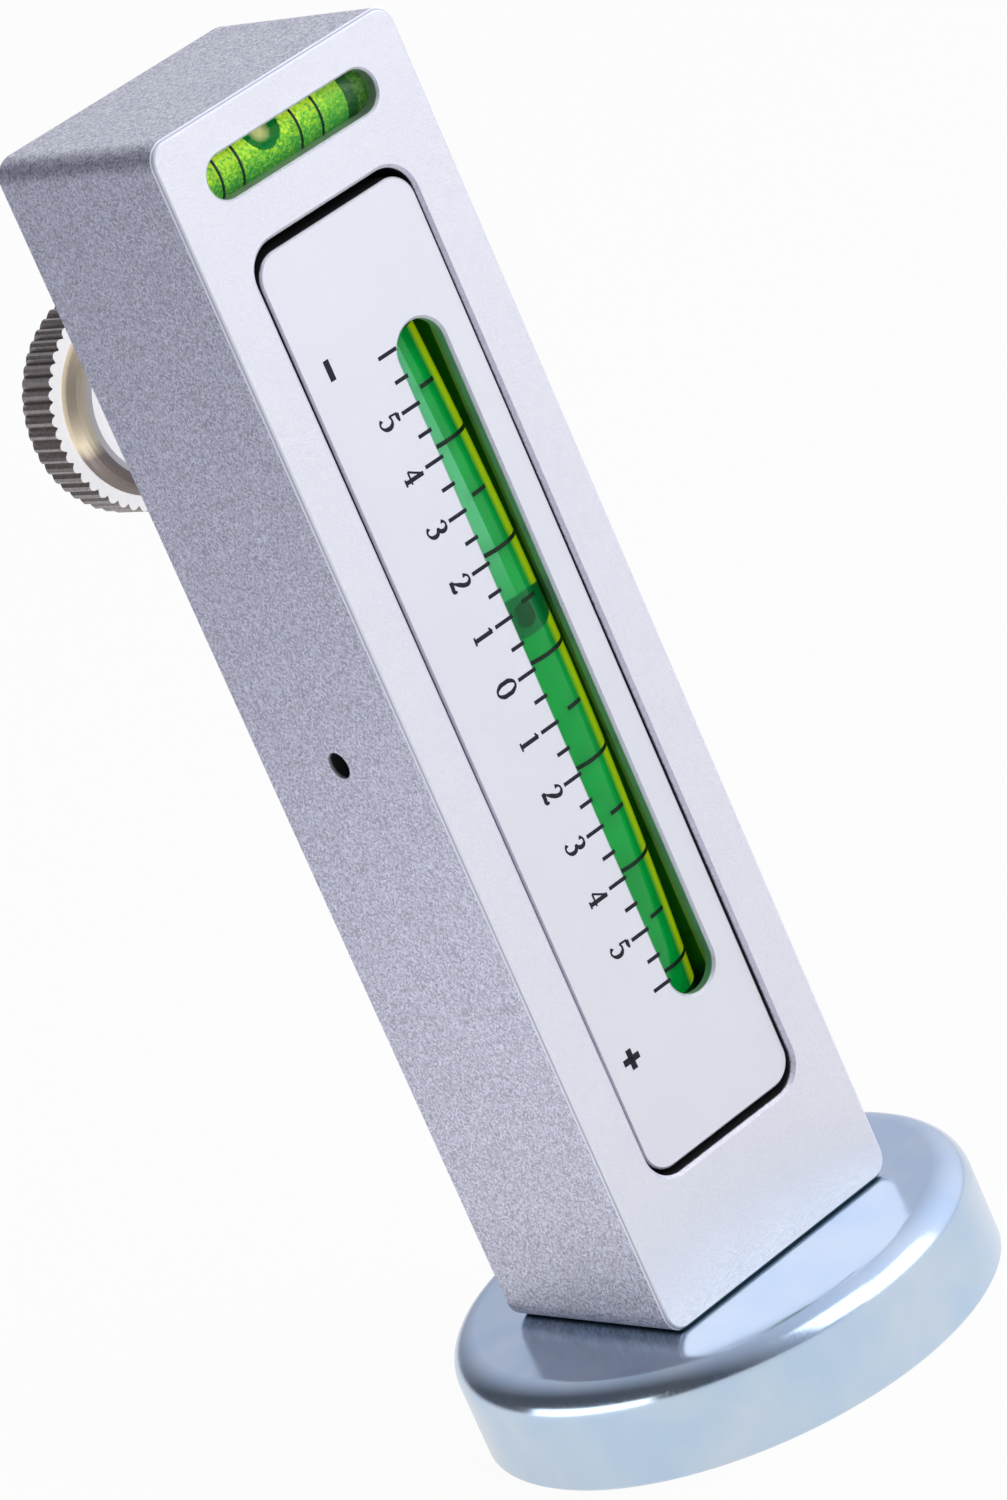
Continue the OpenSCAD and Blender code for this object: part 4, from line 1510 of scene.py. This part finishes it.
@dataclass
class CrossLevel:
    """The level across the top: tube, mottled spirit, stoppers, plug and ring lines."""

    axis_y: float = -7.3 * MM
    axis_z: float = 120.4 * MM
    tube_r: float = 3.0 * MM
    ring_x: tuple[float, ...] = (-7.7 * MM, -5.3 * MM, 1.6 * MM, 4.1 * MM)
    ring_width: float = 0.26 * MM
    ring_ink: float = 0.03 * MM
    bore_r: float = 2.19 * MM
    bubble_x: float = -1.5 * MM
    bubble_up: float = 40.0
    bubble_r: float = 1.95 * MM
    bubble_depth: float = 0.8 * MM
    bubble_rings: int = 20
    light_end_x: float = 8.5 * MM
    bevel_steps: int = 3
    tube_bevel: float = 0.25 * MM
    spirit_bevel: float = 0.1 * MM
    shade_reach: float = 2.2 * MM

    def ring(self, x: float) -> bpy.types.Object:
        """Prints one line round the tube.

        Args:
            x: its place across the gauge.

        Returns:
            The ring.
        """
        bpy.ops.mesh.primitive_cylinder_add(
            vertices=RING_SIDES, radius=self.tube_r + self.ring_ink, depth=self.ring_width,
            end_fill_type="NOTHING", location=(x, self.axis_y, self.axis_z),
            rotation=(0, math.pi / 2, 0))
        piece = Bench.named("ring")
        Bench.apply_modifier(piece, "SOLIDIFY", thickness=self.ring_ink, offset=-1.0)
        Bench.settle(piece)
        return piece

    def rod(self, name: str, node: str, radius: float, soft: float) -> bpy.types.Object:
        """Models a round rod along the level, between the ends of a CAD node.

        Args:
            name: the rod's name.
            node: the node whose ends it takes.
            radius: its radius.
            soft: bevel of its ends.

        Returns:
            The rod.
        """
        low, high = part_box(node)
        bpy.ops.mesh.primitive_cylinder_add(
            vertices=TUBE_SIDES, radius=radius, depth=high.x - low.x,
            location=((low.x + high.x) / 2, self.axis_y, self.axis_z),
            rotation=(0, math.pi / 2, 0))
        piece = Bench.named(name)
        Bench.settle(piece)
        with Bench.edit(piece, lambda face: abs(face.normal.x) > END_NORMAL):
            bpy.ops.mesh.bevel(offset=soft, segments=self.bevel_steps, affect="EDGES")
        return piece

    def bubble_centre(self) -> Vector:
        """Gives the bubble's place on the spirit's surface, up and towards the reader."""
        up = math.radians(self.bubble_up)
        return Vector((self.bubble_x, self.axis_y - self.bore_r * math.cos(up),
                       self.axis_z + self.bore_r * math.sin(up)))

    def spirit(self) -> bpy.types.Object:
        """Models the spirit with the hollow that its bubble leaves.

        Returns:
            The spirit.
        """
        piece = self.rod("level_spirit", "level_vial_fluid", self.bore_r,
                         self.spirit_bevel)
        bpy.ops.mesh.primitive_uv_sphere_add(
            segments=2 * self.bubble_rings, ring_count=self.bubble_rings, radius=1,
            location=self.bubble_centre(),
            rotation=(math.radians(90 - self.bubble_up), 0, 0),
            scale=(self.bubble_r, self.bubble_r, self.bubble_depth))
        Bench.cut(piece, Bench.named("level_bubble_hollow"))
        return piece

    def build(self) -> None:
        """Dresses the level and prints its lines."""
        tube = self.rod("level_tube", "level_vial_tube", self.tube_r, self.tube_bevel)
        clear = ClearTube("clear level tube", (0.95, 1.0, 0.93), 0.02, sheen=(0.25, 0.5, 0.1))
        Bench.finish(tube, clear.build(), "vial_tube", Body.HOUSING, smooth_angle=TUBE_SMOOTH)
        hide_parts("level_vial_tube")
        filling = LevelSpirit("mottled spirit", (0.25, 0.62, 0.05), 0.2,
                              axis_height=self.axis_z, reach=self.shade_reach,
                              bubble_at=self.bubble_centre(), bubble_r=self.bubble_r)
        spirit = self.spirit()
        Bench.finish(spirit, filling.build(), "green_spirit", Body.HOUSING, smooth_angle=TUBE_SMOOTH)
        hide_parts("level_vial_fluid")
        stopper = EndBlock("green level stopper", (0.0, 0.07, 0.015), 0.5,
                           light_x=self.light_end_x).build()
        for end in ("left", "right"):
            dress(f"level_vial_stopper_{end}", stopper)
        plug = TurnedMetal("turned plug", (0.7, 0.71, 0.73), 0.3, axis=Axis.X,
                           centre=Vector((0, self.axis_y, self.axis_z)))
        dress("level_bore_plug", plug.build())
        piece = Bench.join("level_rings", [self.ring(x) for x in self.ring_x])
        ink = PrintedInk("level ink", (0.004, 0.02, 0.008), 0.4)
        Bench.finish(piece, ink.build(), "green_stopper", Body.HOUSING)
        log.info("cross level dressed with %d rings", len(self.ring_x))


@dataclass
class Housing:
    """The blasted block with its pin and spring, with painted shade in its gaps and holes."""

    # painted shade: the pocket, the pin's hole, the foot's joint, and the level's slot, its shade lit
    # green by the vial
    crevices: tuple[Gap, ...] = (
        (Vector((-9.6, -11.15, 22.2)) * MM, Vector((9.6, 6.2, 114)) * MM, PAINTED_GAP_SHADE),
        (Vector((-14.15, -1.5, 66)) * MM, Vector((-9, 1.5, 69)) * MM, PAINTED_GAP_SHADE),
        (Vector((-20, -20, 9)) * MM, Vector((20, 20, 10.35)) * MM, (0.02, 0.06, 0.075)),
        (Vector((-10.1, -11.4, 118)) * MM, Vector((10.1, -4, 122.8)) * MM, (0.34, 0.42, 0.37)))
    arris: float = -11.5 * MM

    def build(self) -> None:
        """Dresses the block and what is fixed in it."""
        block = BlastedMetal("blasted aluminium", (0.77, 0.78, 0.905), 0.5,
                             arris=self.arris, crevices=self.crevices)
        dress("body_block", block.build())
        dress("pivot_pin", DrawnMetal("ground pin steel", (0.55, 0.55, 0.56), 0.25).build())
        dress("return_spring", DrawnMetal("drawn spring wire", (0.35, 0.35, 0.36), 0.3,
                                          axis=Axis.Y).build())


@dataclass
class MagnetFoot:
    """The plated cup with its magnet, resin, pole and stud."""

    def build(self) -> None:
        """Dresses the foot."""
        cup = PlatedSteel("bright zinc", (0.52, 0.65, 0.80), 0.18, tint=(0.60, 0.70, 0.80))
        dress("magnet_cup", cup.build())
        dress("ring_magnet", Moulded("sintered ferrite", (0.05, 0.05, 0.055), 0.6,
                                     relief=0.01 * MM).build())
        dress("magnet_potting", Moulded("black resin", (0.012, 0.012, 0.013), 0.35).build())
        dress("pole_core", TurnedMetal("turned pole steel", (0.5, 0.52, 0.56), 0.28).build())
        dress("base_stud", DrawnMetal("blackened stud steel", (0.06, 0.06, 0.065), 0.4,
                                      axis=Axis.Z).build())


@dataclass
class Adjuster:
    """The knurled knob, the threaded screw and its pad."""

    axis_z: float = 97.2 * MM
    major_r: float = 2.49 * MM
    minor_r: float = 2.03 * MM
    pitch: float = 0.8 * MM
    flat: float = 0.1 * MM
    tip_r: float = 1.3 * MM
    tip_length: float = 1.46 * MM
    slot_width: float = 0.9 * MM
    slot_depth: float = 0.8 * MM
    chamfer: float = 0.15 * MM
    rod_sides: int = 48
    steps: int = 36
    weld: float = 0.004 * MM

    def rod(self, first: float, last: float, radius: float) -> bpy.types.Object:
        """Models a plain stretch of the screw with chamfered ends, on the Y axis.

        Args:
            first: where it starts.
            last: where it ends.
            radius: its radius.

        Returns:
            The rod.
        """
        bpy.ops.mesh.primitive_cylinder_add(
            vertices=self.rod_sides, radius=radius, depth=last - first,
            location=(0, (first + last) / 2, 0), rotation=(math.pi / 2, 0, 0))
        piece = Bench.named("screw_rod")
        Bench.settle(piece)
        with Bench.edit(piece, lambda face: abs(face.normal.y) > END_NORMAL):
            bpy.ops.mesh.bevel(offset=self.chamfer, segments=1, affect="EDGES")
        return piece

    def slotted_end(self, first: float, last: float) -> bpy.types.Object:
        """Models the screw's rear end with its driver slot.

        Args:
            first: where it starts.
            last: where it ends.

        Returns:
            The slotted rod.
        """
        piece = self.rod(first, last, self.major_r)
        bpy.ops.mesh.primitive_cube_add(
            size=1, location=(0, last, 0),
            scale=(4 * self.major_r, 2 * self.slot_depth, self.slot_width))
        Bench.cut(piece, Bench.named("slot_cutter"))
        return piece

    def screw(self) -> bpy.types.Object:
        """Models the screw: its tip, the helical thread and the slotted end in the knob.

        Returns:
            The screw.
        """
        low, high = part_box("adjust_screw")
        start = low.y + self.tip_length
        turns = int((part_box("adjust_knob")[0].y - start) / self.pitch)
        bpy.ops.mesh.primitive_plane_add(size=1)
        thread = Bench.named("adjust_thread")
        # from one groove to the next: up the flank, along the crest, down and along the root
        half = (self.pitch - 2 * self.flat) / 2
        profile = ((self.major_r - self.minor_r, half), (0, self.flat),
                   (self.minor_r - self.major_r, half), (0, self.flat))
        with Bench.edit(thread, mode="VERT"):
            bpy.ops.mesh.merge(type="CENTER")
            bpy.ops.transform.translate(value=(self.minor_r, start, 0))
            for out, along in profile:
                bpy.ops.mesh.extrude_vertices_move(
                    TRANSFORM_OT_translate={"value": (out, along, 0)})
        Bench.apply_modifier(thread, "SCREW", axis="Y", screw_offset=self.pitch,
                             iterations=turns, steps=self.steps, render_steps=self.steps,
                             use_merge_vertices=True, merge_threshold=self.weld)
        with Bench.edit(thread):
            bpy.ops.mesh.remove_doubles(threshold=self.weld)
            bpy.ops.mesh.fill_holes(sides=0)
            bpy.ops.mesh.select_all(action="SELECT")
            bpy.ops.mesh.normals_make_consistent(inside=False)
        tip = self.rod(low.y, start + self.pitch, self.tip_r)
        end = self.slotted_end(start + (turns + 0.5) * self.pitch, high.y)
        piece = Bench.join("adjust_thread", [thread, tip, end])
        with Bench.edit(piece):
            bpy.ops.transform.translate(value=(0, 0, self.axis_z))
        return piece

    def build(self) -> None:
        """Dresses the adjuster."""
        knob = KnobPlating("nickel plated knob", (1.0, 0.98, 0.96), 0.4,
                           centre=Vector((0, 0, self.axis_z)), axis=Axis.Y)
        dress("adjust_knob", knob.build())
        screw = self.screw()
        steel = DrawnMetal("rolled screw steel", (0.55, 0.54, 0.52), 0.25, axis=Axis.Z)
        Bench.finish(screw, steel.build(), "ground_steel", Body.KNOB)
        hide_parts("adjust_screw")
        dress("thrust_pad", Moulded("turned pad", (0.72, 0.68, 0.58), 0.45).build())


# ---- Studio ----


@dataclass(frozen=True)
class Softbox:
    """A rectangular lamp: where it stands, what it faces, its size and how bright it is."""

    name: str
    place: Vector
    aim: Vector
    size: tuple[float, float]
    radiance: float

    def build(self) -> None:
        """Adds the lamp; a radiance of 1 is white."""
        bpy.ops.object.light_add(type="AREA", location=self.place)
        lamp = bpy.context.object
        lamp.name = self.name
        lamp.data.shape = "RECTANGLE"
        lamp.data.size, lamp.data.size_y = self.size
        lamp.data.energy = self.radiance * math.pi * self.size[0] * self.size[1]
        lamp.rotation_euler = (self.aim - self.place).to_track_quat("-Z", "Y").to_euler()


SOFTBOXES = (
    Softbox("front_softbox", Vector((0.12, -0.56, 0.36)), Vector((0, 0, 0.12)),
            (0.40, 0.55), 1.62),
    Softbox("right_softbox", Vector((0.62, -0.75, 0.42)), Vector((0, 0, 0.08)),
            (0.85, 0.75), 1.3),
    Softbox("low_card", Vector((-0.12, 0.02, 0.02)), Vector((0, 0, 0.02)),
            (0.12, 0.036), 2.3))


@dataclass
class Studio:
    """The floor, the lamps and the camera at the photograph's viewing angle."""

    # the camera
    lens: float = 173.87
    sensor: float = 36.0
    clip: Span = (0.01, 50.0)
    eye: Vector = field(default_factory=lambda: Vector((-0.336287, -0.502133, 0.254456)))
    right: Vector = field(default_factory=lambda: Vector((0.68959, -0.61363, -0.38461)))
    up: Vector = field(default_factory=lambda: Vector((0.49142, 0.00640, 0.87090)))
    # the room's light: its level in the middle, its least, and how it rises along each axis
    room_level: float = 0.42
    room_least: float = 0.12
    room_colour: Colour = (0.85, 0.87, 1.0)
    room_slope: Vector = field(default_factory=lambda: Vector((0.74, -0.22, 0.26)))
    # the floor: how bright the camera and metal see it, near the gauge and further off
    floor_size: float = 8.0
    floor_colour: Colour = (0.86, 0.86, 0.87)
    floor_roughness: float = 0.9
    white_to_camera: float = 0.95
    white_to_metal: float = 0.75
    dim_to_metal: float = 0.2
    near_r: float = 90 * MM
    far_r: float = 150 * MM

    def camera(self) -> None:
        """Sets the camera up."""
        bpy.ops.object.camera_add(location=self.eye)
        camera = bpy.context.object
        camera.data.lens = self.lens
        camera.data.sensor_width = self.sensor
        camera.data.clip_start, camera.data.clip_end = self.clip
        back = self.right.cross(self.up).normalized()
        up = back.cross(self.right).normalized()
        turn = Matrix((self.right.normalized(), up, back)).transposed()
        camera.matrix_world = Matrix.Translation(self.eye) @ turn.to_4x4()
        bpy.context.scene.camera = camera

    def floor(self) -> None:
        """Lays the pale floor, which the camera sees near white."""
        bpy.ops.mesh.primitive_plane_add(size=self.floor_size)
        floor = Bench.named("studio_floor")
        shading = Shading("pale floor")
        shading.set(Base_Color=self.floor_colour, Roughness=self.floor_roughness)
        seen = shading.math("MAXIMUM", shading.ray("Camera"), shading.ray("Transmission"))
        near = shading.span(shading.radius(Vector(), Axis.Z), self.near_r, self.far_r,
                            self.white_to_metal, self.dim_to_metal)
        share = shading.math("MAXIMUM", shading.math("MULTIPLY", seen, self.white_to_camera),
                             shading.math("MULTIPLY", shading.ray("Glossy"), near))
        shading.either(share, shading.shader.outputs[0],
                       shading.light("ShaderNodeEmission", WHITE, 1.0))
        floor.data.materials.append(shading.material)

    def world(self) -> None:
        """Fills the room with soft light, brighter above and right; the camera sees white."""
        world = bpy.data.worlds.new("studio")
        bpy.context.scene.world = world
        world.use_nodes = True
        tree = Tree(world.node_tree, "ShaderNodeOutputWorld")
        way = tree.nodes.new("ShaderNodeTexCoord").outputs["Generated"]
        slope = tree.vectors("DOT_PRODUCT", way, self.room_slope).outputs["Value"]
        level = tree.math("MAXIMUM", tree.math("ADD", slope, self.room_level), self.room_least)
        tree.either(tree.ray("Camera"),
                    tree.light("ShaderNodeBackground", self.room_colour, level),
                    tree.light("ShaderNodeBackground", WHITE, 1.0))

    def build(self) -> None:
        """Sets up the whole studio."""
        Bench.clear()
        self.camera()
        self.floor()
        self.world()
        for softbox in SOFTBOXES:
            softbox.build()
        bpy.context.scene.view_settings.view_transform = "Standard"
        log.info("studio ready")


def main() -> None:
    """Builds the sub-assemblies in order."""
    logging.basicConfig(level=logging.INFO, format="%(name)s: %(message)s")
    Bench.clear()
    Studio().build()
    Housing().build()
    MagnetFoot().build()
    CrossLevel().build()
    carrier = Carrier()
    log.info("carrier leans %.3f degrees, face at %.3f mm", math.degrees(carrier.lean),
             carrier.face_y / MM)
    carrier.dress()
    PrintedScale(carrier).build()
    CamberVial(carrier).build()
    Adjuster().build()


if __name__ == "__main__":
    main()
